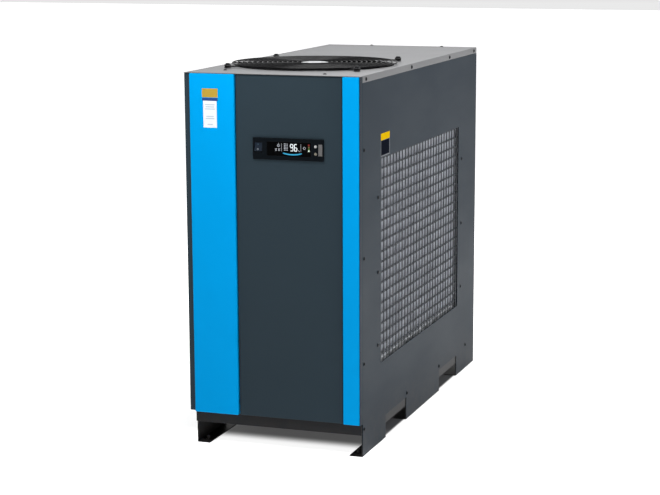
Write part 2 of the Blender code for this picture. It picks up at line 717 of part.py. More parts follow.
def refrigerant_lines():
    """Copper lines between the parts, each one ending a gap short of what it meets."""
    side = CORE_X[0] - GAP
    cx, cy = COMPRESSOR
    rx, ry = RECEIVER
    dx, dy = DRIER
    wall = EXCHANGER_X[1] + GAP
    routes = {
        "discharge_line": (0.008, 0.035, [(cx, cy, 0.5604), (cx, cy, 0.740), (0.10, cy, 0.740),
                                          (0.10, cy, 0.930), (side, cy, 0.930)]),
        "condenser_line": (0.006, 0.030, [(side, ry, 0.500), (rx, ry, 0.500), (rx, ry, 0.4304)]),
        "receiver_line": (0.006, 0.030, [(rx, ry + 0.0604, 0.180), (dx, dy, 0.180), (dx, dy, 0.2496)]),
        "liquid_line": (0.006, 0.030, [(dx, dy, 0.4608), (dx, dy, 0.750), (wall + 0.0504, dy, 0.750)]),
        "suction_line": (0.011, 0.035, [(wall, FRONT + 1.00, 0.450), (0.045, FRONT + 1.00, 0.450),
                                        (0.045, FRONT + 1.00, 0.360), (0.045, cy, 0.360),
                                        (cx + SHELL_RADIUS + 0.0006, cy, 0.360)]),
        "hot_gas_line": (0.005, 0.016, [(cx, cy + 0.0084, 0.620), (cx, FRONT + 0.80, 0.620),
                                        (-0.14, FRONT + 0.80, 0.620),
                                        (-0.14, EXCHANGER_Y[0] - 0.0508, 0.620)]),
    }
    for name, (radius, bend, points) in routes.items():
        add_object(name, pipe(points, radius, bend), "copper", smooth=True)


# Air circuit

def heat_exchanger():
    """Aluminium exchanger block on four legs."""
    item = add_object("heat_exchanger", box(*zip(EXCHANGER_X, EXCHANGER_Y, EXCHANGER_Z)), "aluminium")
    leg = 0.030
    for start_x in (EXCHANGER_X[0] + 0.001, EXCHANGER_X[1] - leg - 0.001):
        for start_y in (EXCHANGER_Y[0] + 0.001, EXCHANGER_Y[1] - leg - 0.001):
            weld(item, box((start_x, start_y, PAN_TOP + GAP),
                           (start_x + leg, start_y + leg, EXCHANGER_Z[0] + 0.002)))


def moisture_separator():
    top = EXCHANGER_Z[0] - GAP
    profile = [(0, 0.200), (0.020, 0.200), (0.050, 0.212), (0.075, 0.240), (0.075, top), (0, top)]
    add_object("moisture_separator", lathe(profile, 32), "aluminium", (*SEPARATOR, 0), smooth=True)


def port_pipe(name, height):
    """Flanged pipe from the exchanger to the outside, with four bolt holes."""
    start = EXCHANGER_Y[1] + GAP
    end = FRONT + DEPTH
    profile = [(PIPE_BORE, start), (PIPE_OUTER, start), (PIPE_OUTER, end - FLANGE_THICK - 0.010),
               (PIPE_OUTER + 0.008, end - FLANGE_THICK), (FLANGE_RADIUS, end - FLANGE_THICK),
               (FLANGE_RADIUS, end), (PIPE_BORE, end)]
    item = add_object(name, lathe(profile, 40, "Y", ring=True), "black_paint", (PORT_X, 0, height),
                      smooth=True)
    for quarter in range(4):
        turn = math.pi / 4 + quarter * math.pi / 2
        place = (PORT_X + FLANGE_BOLT_CIRCLE * math.cos(turn), 0,
                 height + FLANGE_BOLT_CIRCLE * math.sin(turn))
        cut(item, cylinder(FLANGE_HOLE, end - FLANGE_THICK - 0.01, end + 0.01, 16, "Y"), place)


def condensate_drain():
    """Drain valve under the separator, line to the rear, ball valve and its lever."""
    x, y = SEPARATOR
    drain_x, drain_z = DRAIN
    item = add_object("drain_valve", box((-0.035, -0.030, 0.125), (0.035, 0.030, 0.170)),
                      "black_plastic", (x, y, 0))
    weld(item, cylinder(0.014, 0.165, 0.200 - GAP, 16), (x, y, 0))
    route = [(x + 0.0354, y, drain_z), (drain_x, y, drain_z), (drain_x, REAR + 0.0001, drain_z)]
    add_object("drain_line", pipe(route, 0.006, 0.030), "black_plastic", smooth=True)
    start = REAR + 0.0005
    profile = [(0.006, 0), (0.013, 0), (0.013, 0.014), (0.017, 0.018), (0.017, 0.040),
               (0.013, 0.044), (0.013, 0.058), (0.006, 0.058)]
    body = add_object("drain_ball_valve", lathe(profile, 16, "Y", ring=True), "brass",
                      (drain_x, start, drain_z))
    weld(body, cylinder(0.0060, 0.012, 0.026, 16, "X"), (drain_x, start + 0.029, drain_z))
    lever = plate(rectangle((-0.007, 0.007), (-0.010, 0.075)), [], 0, 0.0030, "X")
    bmesh.ops.bevel(lever, geom=long_edges(lever), offset=0.003, segments=2, profile=0.5,
                    affect="EDGES")
    add_object("drain_lever", face_out(lever), "red_lever", (drain_x + 0.0264, start + 0.029, drain_z))


def long_edges(shape):
    """Edges that run along X, for rounding a plate's corners."""
    return [edge for edge in shape.edges
            if abs((edge.verts[0].co - edge.verts[1].co).normalized().x) > 0.99]


# Electrical parts and controller

def electrical_parts():
    back = FRONT + FASCIA + POST_LEG + 0.0012
    plate_area = rectangle((FRAME_LEFT + 0.001, FRAME_RIGHT - 0.001), (0.880, 1.100))
    add_object("electrical_plate", plate(plate_area, [], back, back + 0.002, "Y"), "galvanised")
    start = back + 0.002 + GAP
    contactor = add_object("contactor", box((-0.150, start, 0.930), (-0.095, start + 0.060, 1.010)),
                           "black_plastic")
    weld(contactor, box((-0.142, start + 0.050, 0.945), (-0.103, start + 0.075, 0.995)))
    gland_x, gland_z = GLAND
    profile = [(0.008, 0), (0.017, 0), (0.017, 0.010), (0.014, 0.012), (0.014, 0.024),
               (0.0105, 0.030), (0.008, 0.030)]
    add_object("cable_gland", lathe(profile, 12, "Y", ring=True), "black_plastic",
               (gland_x, REAR + GAP, gland_z))


def controller():
    """Bezel with recesses, and the window, buttons and port cover that sit in them."""
    panel_face = FRONT + CENTRE_RECESS
    bezel = add_object("controller_bezel",
                       box((BEZEL_X[0], BEZEL_FACE, BEZEL_Z[0]),
                           (BEZEL_X[1], panel_face - GAP, BEZEL_Z[1])), "black_plastic")
    weld(bezel, box((BEZEL_X[0] + 0.004, panel_face - 0.002, BEZEL_Z[0] + 0.004),
                    (BEZEL_X[1] - 0.004, FRONT + 0.034, BEZEL_Z[1] - 0.004)))
    front = BEZEL_FACE - 0.01
    cut(bezel, box((LENS_X[0], front, LENS_Z[0]), (LENS_X[1], BEZEL_FACE + 0.0032, LENS_Z[1])))
    x, y, z = ROCKER_CENTRE
    half_x = ROCKER_SIZE[0] / 2 + 0.0008
    half_z = ROCKER_SIZE[1] / 2 + 0.0020
    cut(bezel, box((x - half_x, front, z - half_z), (x + half_x, y + 0.010, z + half_z)))
    cut(bezel, box((FLAP_X[0], front, FLAP_Z[0]), (FLAP_X[1], BEZEL_FACE + 0.0030, FLAP_Z[1])))
    for height in BUTTON_Z:
        cut(bezel, cylinder(BUTTON_RADIUS + 0.0005, front, BEZEL_FACE + 0.010, 24, "Y"),
            (BUTTON_X, 0, height))
    add_object("display_lens",
               box((LENS_X[0] + GAP, BEZEL_FACE + 0.0006, LENS_Z[0] + GAP),
                   (LENS_X[1] - GAP, BEZEL_FACE + 0.0028, LENS_Z[1] - GAP)), "lens")


def power_rocker():
    """Rocker paddle with its pivot at the object's origin, tilted to its ON position."""
    half = ROCKER_SIZE[1] / 2
    outline = [(-0.0070, half), (-0.0045, 0), (-0.0070, -half), (0.0060, -0.0120), (0.0060, 0.0120)]
    width = ROCKER_SIZE[0]
    item = add_object("power_rocker", plate(outline, [], -width / 2, width / 2, "X"), "black_plastic",
                      ROCKER_CENTRE)
    item.rotation_euler.x = math.radians(ROCKER_TILT)


def control_buttons():
    face = BEZEL_FACE - 0.0007
    for name, height in zip(("upper_button", "lower_button"), BUTTON_Z):
        profile = [(0, 0), (BUTTON_RADIUS - 0.0008, 0), (BUTTON_RADIUS, 0.0008),
                   (BUTTON_RADIUS, 0.0070), (0, 0.0070)]
        add_object(name, lathe(profile, 24, "Y"), "white_plastic", (BUTTON_X, face, height), smooth=True)


def port_flap():
    """Small rubber cover, hinged on its right edge, with its origin on the hinge line."""
    clear = 0.0005
    width = FLAP_X[1] - FLAP_X[0] - 2 * clear
    half = (FLAP_Z[1] - FLAP_Z[0]) / 2 - clear
    shape = box((-width, 0, -half), (0, 0.0022, half))
    add_object("port_flap", shape, "grey_rubber",
               (FLAP_X[1] - clear, BEZEL_FACE + 0.0003, sum(FLAP_Z) / 2))


def build():
    clear_scene()
    rail("left_rail", RAIL_LEFT, 1)
    rail("right_rail", FRAME_RIGHT, -1)
    base_pan()
    corner_posts()
    front_panels()
    left_side_panel()
    right_side_panel()
    rear_panel()
    top_cover()
    intake_screen()
    condenser()
    fan_guard()
    guard_feet()
    fan_shroud()
    motor_bracket()
    fan_motor()
    fan_rotor()
    compressor()
    receiver_and_drier()
    valves()
    refrigerant_lines()
    heat_exchanger()
    moisture_separator()
    port_pipe("inlet_pipe", INLET_Z)
    port_pipe("outlet_pipe", OUTLET_Z)
    condensate_drain()
    electrical_parts()
    controller()
    power_rocker()
    control_buttons()
    port_flap()


build()
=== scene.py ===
"""Looks of the refrigerated air dryer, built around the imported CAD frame. Metres, +Z up, front faces -Y."""
import json
import math
import random

import bmesh
import bpy
from mathutils import Matrix, Vector


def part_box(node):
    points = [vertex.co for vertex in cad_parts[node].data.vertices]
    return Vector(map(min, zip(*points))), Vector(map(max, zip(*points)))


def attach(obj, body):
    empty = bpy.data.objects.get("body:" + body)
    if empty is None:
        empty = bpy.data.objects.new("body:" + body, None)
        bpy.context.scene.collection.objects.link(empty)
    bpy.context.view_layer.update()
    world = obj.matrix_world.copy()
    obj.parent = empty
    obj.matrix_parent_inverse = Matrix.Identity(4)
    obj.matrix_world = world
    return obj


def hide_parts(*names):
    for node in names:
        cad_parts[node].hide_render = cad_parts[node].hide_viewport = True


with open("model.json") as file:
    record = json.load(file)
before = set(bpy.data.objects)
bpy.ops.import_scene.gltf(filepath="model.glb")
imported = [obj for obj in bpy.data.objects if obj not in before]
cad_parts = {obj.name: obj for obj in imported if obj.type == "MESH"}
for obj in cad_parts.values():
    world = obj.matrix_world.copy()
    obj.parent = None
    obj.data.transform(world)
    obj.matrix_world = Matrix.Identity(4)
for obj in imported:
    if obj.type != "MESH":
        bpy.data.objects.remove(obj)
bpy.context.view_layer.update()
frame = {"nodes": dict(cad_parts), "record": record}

scene = bpy.context.scene
TURN = 2 * math.pi
SHEET = 0.0018                  # thickness of the sheet metal
HEAD = 0.003                    # how far screw heads stand out of the sheets
FILM = 0.0003                   # set-back of the labelled blue panel's face, for its printed films
SHEET_EDGE = 0.0006             # rounding of cut sheet edges
SHARP_ABOVE = math.radians(35)  # edges that turn more than this stay sharp
ROUND_ABOVE = math.radians(30)  # edges that turn more than this are rounded by round_edges
random.seed(7)

blue_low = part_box("front_left_panel")[0]
FRONT = blue_low[1]
cover_low, cover_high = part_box("top_cover")
TOP = cover_high[2] - HEAD
LEFT = cover_low[0]
RIGHT = cover_high[0] - HEAD
REAR = cover_high[1]
FAN_Y = FRONT + 0.425
WINDOW_Y = (FRONT + 0.2185, FRONT + 1.188)
WINDOW_Z = (0.276, 0.966)


# Meshes

def face_out(shape):
    bmesh.ops.recalc_face_normals(shape, faces=shape.faces[:])
    return shape


def halfway(low, high):
    return [(start + end) / 2 for start, end in zip(low, high)]


def box(low, high, shape=None):
    """A box between two corners, in a new bmesh or added to one."""
    shape = shape or bmesh.new()
    size = [top - bottom for bottom, top in zip(low, high)]
    place = Matrix.Translation(halfway(low, high)) @ Matrix.Diagonal((*size, 1.0))
    bmesh.ops.create_cube(shape, size=1.0, matrix=place)
    return shape


def lift(u, v, w, axis):
    """A point of a flat drawing, u across and v up, at w along the axis."""
    return {"X": Vector((w, u, v)), "Y": Vector((u, w, v)), "Z": Vector((u, v, w))}[axis]


def plate(outline, holes, start, end, axis, shape=None):
    """A flat plate with holes; its thickness runs along the axis from start to end."""
    made = bmesh.new()
    edges = []
    for loop in [outline] + holes:
        corners = [made.verts.new(lift(u, v, start, axis)) for u, v in loop]
        for first, second in zip(corners, corners[1:] + corners[:1]):
            edges.append(made.edges.new((first, second)))
    bmesh.ops.triangle_fill(made, use_beauty=True, use_dissolve=False, edges=edges)
    grown = bmesh.ops.extrude_face_region(made, geom=made.faces[:])
    moved = [part for part in grown["geom"] if isinstance(part, bmesh.types.BMVert)]
    bmesh.ops.translate(made, vec=lift(0, 0, end - start, axis), verts=moved)
    face_out(made)
    return made if shape is None else merge(shape, made)


def merge(shape, extra, place=None):
    """Adds one bmesh to another, placed by a matrix."""
    if place:
        bmesh.ops.transform(extra, matrix=place, verts=extra.verts[:])
    mesh = bpy.data.meshes.new("part")
    extra.to_mesh(mesh)
    extra.free()
    shape.from_mesh(mesh)
    bpy.data.meshes.remove(mesh)
    return shape


def rectangle(u_range, v_range, corner=0.0):
    """A rectangle's outline, with rounded corners if asked."""
    (u0, u1), (v0, v1) = u_range, v_range
    if not corner:
        return [(u0, v0), (u1, v0), (u1, v1), (u0, v1)]
    centres = [(u1 - corner, v1 - corner, 0), (u0 + corner, v1 - corner, 1),
               (u0 + corner, v0 + corner, 2), (u1 - corner, v0 + corner, 3)]
    steps = 5
    return [(u + corner * math.cos((quarter + step / steps) * TURN / 4),
             v + corner * math.sin((quarter + step / steps) * TURN / 4))
            for u, v, quarter in centres for step in range(steps + 1)]


def circle(u, v, radius, sides):
    return [(u + radius * math.cos(step * TURN / sides), v + radius * math.sin(step * TURN / sides))
            for step in range(sides)]


TURNS = {"X": Matrix.Rotation(math.pi / 2, 4, "Y"), "Y": Matrix.Rotation(-math.pi / 2, 4, "X"),
         "Z": Matrix.Identity(4)}


def lathe(profile, sides, place=(0, 0, 0), axis="Z", ring=False, shape=None):
    """Turns a profile of (radius, height) points about an axis; a ring's profile is a closed loop."""
    made = bmesh.new()
    loops = []
    for radius, height in profile:
        rim = [(0, 0)] if radius == 0 else circle(0, 0, radius, sides)
        loops.append([made.verts.new((x, y, height)) for x, y in rim])
    pairs = list(zip(loops, loops[1:] + loops[:1])) if ring else list(zip(loops, loops[1:]))
    for lower, upper in pairs:
        for step in range(sides):
            after = (step + 1) % sides
            corners = list(dict.fromkeys([lower[step % len(lower)], lower[after % len(lower)],
                                          upper[after % len(upper)], upper[step % len(upper)]]))
            if len(corners) > 2:
                made.faces.new(corners)
    face_out(made)
    bmesh.ops.transform(made, matrix=Matrix.Translation(place) @ TURNS[axis], verts=made.verts[:])
    return made if shape is None else merge(shape, made)


def cylinder(radius, start, end, sides, place=(0, 0, 0), axis="Z", shape=None):
    return lathe([(0, start), (radius, start), (radius, end), (0, end)], sides, place, axis, shape=shape)


def wire(points, radius, closed=False, shape=None):
    """A round wire through points; a closed one joins its ends."""
    made = bmesh.new()
    sides = 8
    path = [Vector(point) for point in points]
    count = len(path)
    rings = []
    across = None
    for index, place in enumerate(path):
        if closed:
            along = path[(index + 1) % count] - path[index - 1]
        else:
            along = path[min(index + 1, count - 1)] - path[max(index - 1, 0)]
        along.normalize()
        across = across or along.orthogonal().normalized()
        across = (across - along * across.dot(along)).normalized()
        upward = along.cross(across)
        rings.append([made.verts.new(place + across * u + upward * v)
                      for u, v in circle(0, 0, radius, sides)])
    pairs = zip(rings, rings[1:] + rings[:1]) if closed else zip(rings, rings[1:])
    for near, far in pairs:
        for step in range(sides):
            after = (step + 1) % sides
            made.faces.new((near[step], near[after], far[after], far[step]))
    if not closed:
        made.faces.new(list(reversed(rings[0])))
        made.faces.new(rings[-1])
    face_out(made)
    return made if shape is None else merge(shape, made)


def straight(start, end, radius, shape):
    """A straight wire in two equal lengths."""
    wire([start, halfway(start, end), end], radius, shape=shape)


def smoothed(mesh):
    mesh.shade_smooth()
    mesh.set_sharp_from_angle(angle=SHARP_ABOVE)


def add_object(name, shape):
    mesh = bpy.data.meshes.new(name)
    shape.to_mesh(mesh)
    shape.free()
    item = bpy.data.objects.new(name, mesh)
    scene.collection.objects.link(item)
    return item


def piece(name, shape, slot, look=None, body="cabinet", replaces=()):
    """A visible piece, made in place, that rides on a body. Its look is its slot's unless one is given."""
    item = add_object(name, shape)
    item.data.materials.append(look or LOOKS[slot])
    smoothed(item.data)
    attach(item, body)
    if replaces:
        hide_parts(*replaces)
    return item


def round_edges(item, width, segments=2):
    step = item.modifiers.new("Round", "BEVEL")
    step.width = width
    step.segments = segments
    step.limit_method = "ANGLE"
    step.angle_limit = ROUND_ABOVE
    step.harden_normals = True
    step.use_clamp_overlap = True


def cut(item, shape):
    """Cuts a shape out of a piece."""
    helper = add_object("cutter", shape)
    step = item.modifiers.new("Cut", "BOOLEAN")
    step.operation = "DIFFERENCE"
    step.object = helper
    bpy.context.view_layer.objects.active = item
    bpy.ops.object.modifier_apply(modifier=step.name)
    bpy.data.objects.remove(helper, do_unlink=True)


def folded(low, high, open_sides, bend):
    """Sheet folded round a box that is open towards some sides, with a real bend radius at each fold."""
    shape = box(low, high)
    gone = [face for face in shape.faces if any(face.normal.dot(Vector(side)) > 0.9 for side in open_sides)]
    bmesh.ops.delete(shape, geom=gone, context="FACES")
    folds = [edge for edge in shape.edges if not edge.is_boundary]
    bmesh.ops.bevel(shape, geom=folds, offset=bend, segments=4, profile=0.5, affect="EDGES")
    bmesh.ops.solidify(shape, geom=shape.faces[:], thickness=SHEET)
    return face_out(shape)


SLOTS = {part["node"]: part["material_slot"] for part in frame["record"]["subparts"]}
BODIES = {node: body for body, nodes in frame["record"]["behaviour"]["bodies"].items() for node in nodes}


def refine(node, width, look=None, segments=2):
    """A copy of a CAD node with its flat faces joined and its edges rounded, in place of the node."""
    shape = bmesh.new()
    shape.from_mesh(frame["nodes"][node].data)
    bmesh.ops.remove_doubles(shape, verts=shape.verts[:], dist=1e-6)
    bmesh.ops.dissolve_limit(shape, angle_limit=math.radians(0.5), verts=shape.verts[:], edges=shape.edges[:])
    item = piece(node + "_finish", face_out(shape), SLOTS[node], look, BODIES[node], (node,))
    round_edges(item, width, segments)


# Materials

INPUTS = {"first": 0, "second": 1}      # sockets that a maths node tells apart by number only


class Graph:
    """Builds a material's nodes."""

    def __init__(self, name):
        self.surface = bpy.data.materials.new(name)
        self.surface.use_nodes = True
        self.tree = self.surface.node_tree
        self.shader = self.tree.nodes["Principled BSDF"]
        self.place = self.add("ShaderNodeTexCoord").outputs["Object"]

    def add(self, kind, settings=None, **sockets):
        node = self.tree.nodes.new(kind)
        for key, value in (settings or {}).items():
            setattr(node, key, value)
        for key, value in sockets.items():
            self.feed(node.inputs[INPUTS.get(key, key.replace("_", " "))], value)
        return node

    def feed(self, socket, value):
        if isinstance(value, bpy.types.NodeSocket):
            self.tree.links.new(value, socket)
        else:
            socket.default_value = value

    def noise(self, size, detail=3.0, stretch=None):
        """Noise whose features are about this size, in metres."""
        place = self.place
        if stretch:
            place = self.add("ShaderNodeMapping", Vector=place, Scale=stretch).outputs[0]
        return self.add("ShaderNodeTexNoise", Vector=place, Scale=1 / size, Detail=detail).outputs["Fac"]

    def ramp(self, value, low, high, to_low=0.0, to_high=1.0):
        """A smooth step from one number to another while the value goes from low to high."""
        node = self.add("ShaderNodeMapRange", {"interpolation_type": "SMOOTHSTEP"}, Value=value)
        for index, number in zip((1, 2, 3, 4), (low, high, to_low, to_high)):
            node.inputs[index].default_value = number
        return node.outputs[0]

    def uneven(self, size, detail, low, high):
        """A value that wanders between two numbers, in patches of about this size."""
        return self.ramp(self.noise(size, detail), 0.3, 0.7, low, high)

    def times(self, first, second):
        return self.add("ShaderNodeMath", {"operation": "MULTIPLY"}, first=first, second=second).outputs[0]

    def mix(self, share, first, second):
        """Colour between two colours or colour sockets."""
        node = self.add("ShaderNodeMix", {"data_type": "RGBA"})
        self.feed(node.inputs[0], share)
        for index, colour in ((6, first), (7, second)):
            linked = isinstance(colour, bpy.types.NodeSocket)
            self.feed(node.inputs[index], colour if linked else (*colour, 1.0))
        return node.outputs[2]

    def edges(self, radius):
        """1 on worn outer edges and 0 on open faces."""
        soft = self.add("ShaderNodeBevel", {"samples": 4}, Radius=radius).outputs[0]
        flat = self.add("ShaderNodeNewGeometry").outputs["True Normal"]
        same = self.add("ShaderNodeVectorMath", {"operation": "DOT_PRODUCT"}, first=soft, second=flat)
        return self.ramp(same.outputs["Value"], 0.985, 0.90)

    def axis(self, index):
        split = self.add("ShaderNodeSeparateXYZ", Vector=self.place)
        return split.outputs[index]

    def finish(self, colour, roughness, relief=(), metallic=0.0, **sockets):
        """Feeds the shader; relief is a list of (height, strength, distance in metres)."""
        self.feed(self.shader.inputs["Base Color"], colour)
        self.feed(self.shader.inputs["Roughness"], roughness)
        self.shader.inputs["Metallic"].default_value = metallic
        normal = None
        for height, strength, distance in relief:
            bump = self.add("ShaderNodeBump", Height=height, Strength=strength, Distance=distance)
            if normal is not None:
                self.feed(bump.inputs["Normal"], normal)
            normal = bump.outputs[0]
        if normal is not None:
            self.feed(self.shader.inputs["Normal"], normal)
        for key, value in sockets.items():
            self.shader.inputs[key.replace("_", " ")].default_value = value
        return self.surface


# Brownish colour towards the floor: partly floor dust, partly a painted reflection of the floor
DUST_AND_FLOOR_REFLECTION = (0.040, 0.031, 0.025)
DUST_AND_REFLECTION_TOP = 0.20                 # floor dust and a painted floor reflection lie on surfaces below this height


def shade(colour, factor):
    return tuple(channel * factor for channel in colour)


def painted(name, colour, roughness, grain=0.0011, relief=0.16, worn=None, dust_and_reflection=0.0, gloss=0.5):
    """Powder coat: fine orange-peel grain, faint wipe marks, softly worn edges, and towards the floor a
    little dust mixed with a painted brownish floor reflection.
    """
    graph = Graph(name)
    cloud = graph.noise(0.35, 4.0)
    base = graph.mix(cloud, shade(colour, 0.955), shade(colour, 1.045))
    speck = graph.ramp(graph.noise(0.0016, 2.0), 0.60, 0.74, 0.0, 0.28)
    base = graph.mix(speck, base, shade(colour, 0.72))
    rubbed = graph.times(graph.edges(0.0016), graph.ramp(graph.noise(0.012, 5.0), 0.36, 0.62))
    base = graph.mix(rubbed, base, worn or tuple(0.6 * channel + 0.055 for channel in colour))
    # Painted reflection and dust: the coat turns brownish towards the floor
    if dust_and_reflection:
        low = graph.ramp(graph.axis(2), DUST_AND_REFLECTION_TOP, 0.0, 0.0, dust_and_reflection)
        base = graph.mix(graph.times(low, graph.ramp(graph.noise(0.03, 6.0), 0.25, 0.75)), base, DUST_AND_FLOOR_REFLECTION)
    wipes = graph.noise(0.45, 3.0, (1.0, 1.0, 3.0))
    rough = graph.ramp(wipes, 0.30, 0.70, roughness - 0.02, roughness + 0.025)
    peel = graph.noise(grain, 2.0)
    waves = graph.noise(0.09, 2.0)
    return graph.finish(base, rough, [(peel, relief, grain * 0.22), (waves, 0.05, 0.0012)],
                        Specular_IOR_Level=gloss)


def moulded(name, colour, roughness, grain=0.0006, relief=0.25, gloss=0.5):
    """Moulded plastic or rubber: spark-eroded grain, patchy sheen and lighter rubbed edges."""
    graph = Graph(name)
    base = graph.mix(graph.noise(0.02, 3.0), shade(colour, 0.88), shade(colour, 1.12))
    rubbed = graph.times(graph.edges(0.0008), graph.noise(0.004, 3.0))
    base = graph.mix(rubbed, base, tuple(channel * 0.8 + 0.04 for channel in colour))
    rough = graph.uneven(0.010, 4.0, roughness - 0.06, roughness + 0.08)
    return graph.finish(base, rough, [(graph.noise(grain, 3.0), relief, grain * 0.3)],
                        Specular_IOR_Level=gloss)


def metal(name, colour, roughness, tarnish, size=0.02, brushed=None, relief=0.12, metallic=1.0):
    """Bare metal: tarnish in patches, fine drawn or brushed lines and uneven polish."""
    graph = Graph(name)
    patch = graph.ramp(graph.noise(size, 6.0), 0.38, 0.66)
    base = graph.mix(graph.times(patch, 0.55), colour, tarnish)
    lines = graph.noise(0.0009, 2.0, brushed or (1.0, 1.0, 1.0))
    rough = graph.uneven(size * 0.5, 5.0, roughness - 0.08, roughness + 0.12)
    return graph.finish(base, rough, [(lines, relief, 0.0002)], metallic)


def galvanised(name):
    """Zinc-coated sheet with its spangle."""
    graph = Graph(name)
    cells = graph.add("ShaderNodeTexVoronoi", Vector=graph.place, Scale=85.0)
    tone = graph.ramp(cells.outputs["Color"], 0.1, 0.9)
    base = graph.mix(tone, (0.40, 0.42, 0.44), (0.60, 0.62, 0.65))
    rough = graph.ramp(tone, 0.0, 1.0, 0.36, 0.58)
    return graph.finish(base, rough, [(cells.outputs["Distance"], 0.10, 0.0002)], 1.0)


def lit(name, colour, strength):
    """A lit display mark, a little uneven like a light guide."""
    graph = Graph(name)
    tone = graph.mix(graph.noise(0.004, 2.0), shade(colour, 0.82), colour)
    graph.feed(graph.shader.inputs["Emission Color"], tone)
    graph.shader.inputs["Emission Strength"].default_value = strength
    return graph.finish(tone, graph.uneven(0.002, 2.0, 0.35, 0.5), Specular_IOR_Level=0.3)


def printed(name, colour, roughness=0.42, gloss=0.35):
    """Printed vinyl film with slight ink mottle and a soft surface."""
    graph = Graph(name)
    base = graph.mix(graph.noise(0.0012, 3.0), shade(colour, 0.90), shade(colour, 1.04))
    base = graph.mix(graph.ramp(graph.noise(0.015, 4.0), 0.5, 0.8, 0.0, 0.2), base, shade(colour, 0.8))
    rough = graph.uneven(0.01, 3.0, roughness - 0.06, roughness + 0.08)
    return graph.finish(base, rough, [(graph.noise(0.004, 3.0), 0.08, 0.0002)], Specular_IOR_Level=gloss)


def smoked(name):
    """Smoked window: dark, with faint wiping smears."""
    graph = Graph(name)
    smear = graph.ramp(graph.noise(0.02, 5.0, (1.0, 1.0, 3.0)), 0.4, 0.75, 0.06, 0.16)
    base = graph.mix(graph.noise(0.03, 2.0), (0.0004, 0.0004, 0.0005), (0.0010, 0.0010, 0.0012))
    return graph.finish(base, smear, [(graph.noise(0.05, 1.0), 0.02, 0.0005)], Specular_IOR_Level=0.02)


# By the record's material slot
LOOKS = {
    "blue_paint": painted(
        "blue_powder_coat", (0.0002, 0.266, 0.612), 0.34, relief=0.10, worn=(0.01, 0.33, 0.70), gloss=0.01),
    "charcoal_paint": painted(
        "charcoal_powder_coat", (0.0206, 0.0328, 0.0422), 0.50, worn=(0.038, 0.054, 0.066), gloss=0.05),
    # Right side and rear: a darker copy of the charcoal paint, painting in shade to offset the strong light
    # on the right side
    "panel_paint": painted(
        "charcoal_coat_shaded_copy", (0.0064, 0.0122, 0.0190), 0.46, worn=(0.018, 0.026, 0.034), dust_and_reflection=0.26,
        gloss=0.052),
    "black_paint": painted(
        "black_powder_coat", (0.0175, 0.0180, 0.0195), 0.42, worn=(0.030, 0.030, 0.033), dust_and_reflection=0.3,
        gloss=0.06),
    "black_plastic": moulded("black_plastic_grain", (0.0050, 0.0058, 0.0070), 0.42, gloss=0.14),
    "white_plastic": moulded("white_plastic_grain", (0.34, 0.34, 0.34), 0.35, relief=0.1),
    "grey_rubber": moulded("grey_rubber_ribs", (0.105, 0.103, 0.104), 0.72),
    "black_rubber": moulded("black_rubber_bloom", (0.016, 0.016, 0.017), 0.78, grain=0.0012),
    "aluminium": metal("mill_aluminium", (0.62, 0.64, 0.66), 0.38, (0.42, 0.43, 0.45), 0.05),
    "galvanised": galvanised("zinc_spangle"),
    "copper": metal("drawn_copper", (0.80, 0.38, 0.22), 0.28, (0.38, 0.17, 0.10), 0.04),
    "brass": metal("turned_brass", (0.74, 0.55, 0.26), 0.26, (0.45, 0.32, 0.14), 0.015),
    "steel": metal("plated_steel", (0.52, 0.53, 0.55), 0.30, (0.34, 0.34, 0.35), 0.012),
    "red_lever": moulded("red_dip_coating", (0.50, 0.022, 0.016), 0.38, relief=0.12),
    "lens": smoked("smoked_window"),
}

# For single pieces
FIN = metal("fin_foil", (0.68, 0.70, 0.75), 0.48, (0.44, 0.46, 0.51), 0.09, (1.0, 12.0, 1.0), 0.2, 0.25)
BLACK_BOLT = painted("black_screw_coating", (0.0030, 0.0034, 0.0044), 0.34, grain=0.0005,
                     worn=(0.014, 0.014, 0.016), gloss=0.03)
# Roof: a lighter, glossier copy of the side paint, painting in the light that falls on the roof
ROOF_LIT_COPY = painted("roof_coat_lit_copy", (0.063, 0.0645, 0.068), 0.44, worn=(0.078, 0.081, 0.088), gloss=0.50)
GUARD = painted("guard_dip_coating", (0.0022, 0.0022, 0.0026), 0.24, grain=0.0008, relief=0.1,
                worn=(0.012, 0.012, 0.013), gloss=0.03)
WIRE = painted("mesh_dip_coating", (0.021, 0.026, 0.033), 0.40, grain=0.0008, relief=0.1)
BLADE = moulded("fan_blade_plastic", (0.012, 0.013, 0.015), 0.34, relief=0.12, gloss=0.14)
PIT = painted("shroud_black_coating", (0.0030, 0.0030, 0.0034), 0.55, gloss=0.12)
BEZEL = moulded("bezel_plastic_grain", (0.0026, 0.0040, 0.0056), 0.44, gloss=0.03)
ROCKER = moulded("rocker_plastic_grain", (0.0095, 0.0150, 0.0240), 0.44, gloss=0.06)
CREAM = moulded("cream_plastic_grain", (0.17, 0.155, 0.120), 0.35, relief=0.1)


# Cabinet

BLUE_BEND, DARK_BEND, ROOF_BEND = 0.0035, 0.003, 0.0025     # outside the folds
NOTCHES = (FRONT + 0.277, FRONT + 0.942)    # where the right side's fork notches start
NOTCH_LENGTH, NOTCH_TOP = 0.240, 0.080
# X, height, radius and sides: two ports, drain outlet, cable gland
REAR_HOLES = ((-0.1375, 0.900, 0.052, 64), (-0.1375, 0.520, 0.052, 64), (0.05, 0.15, 0.011, 24),
              (0.17, 0.30, 0.012, 24))


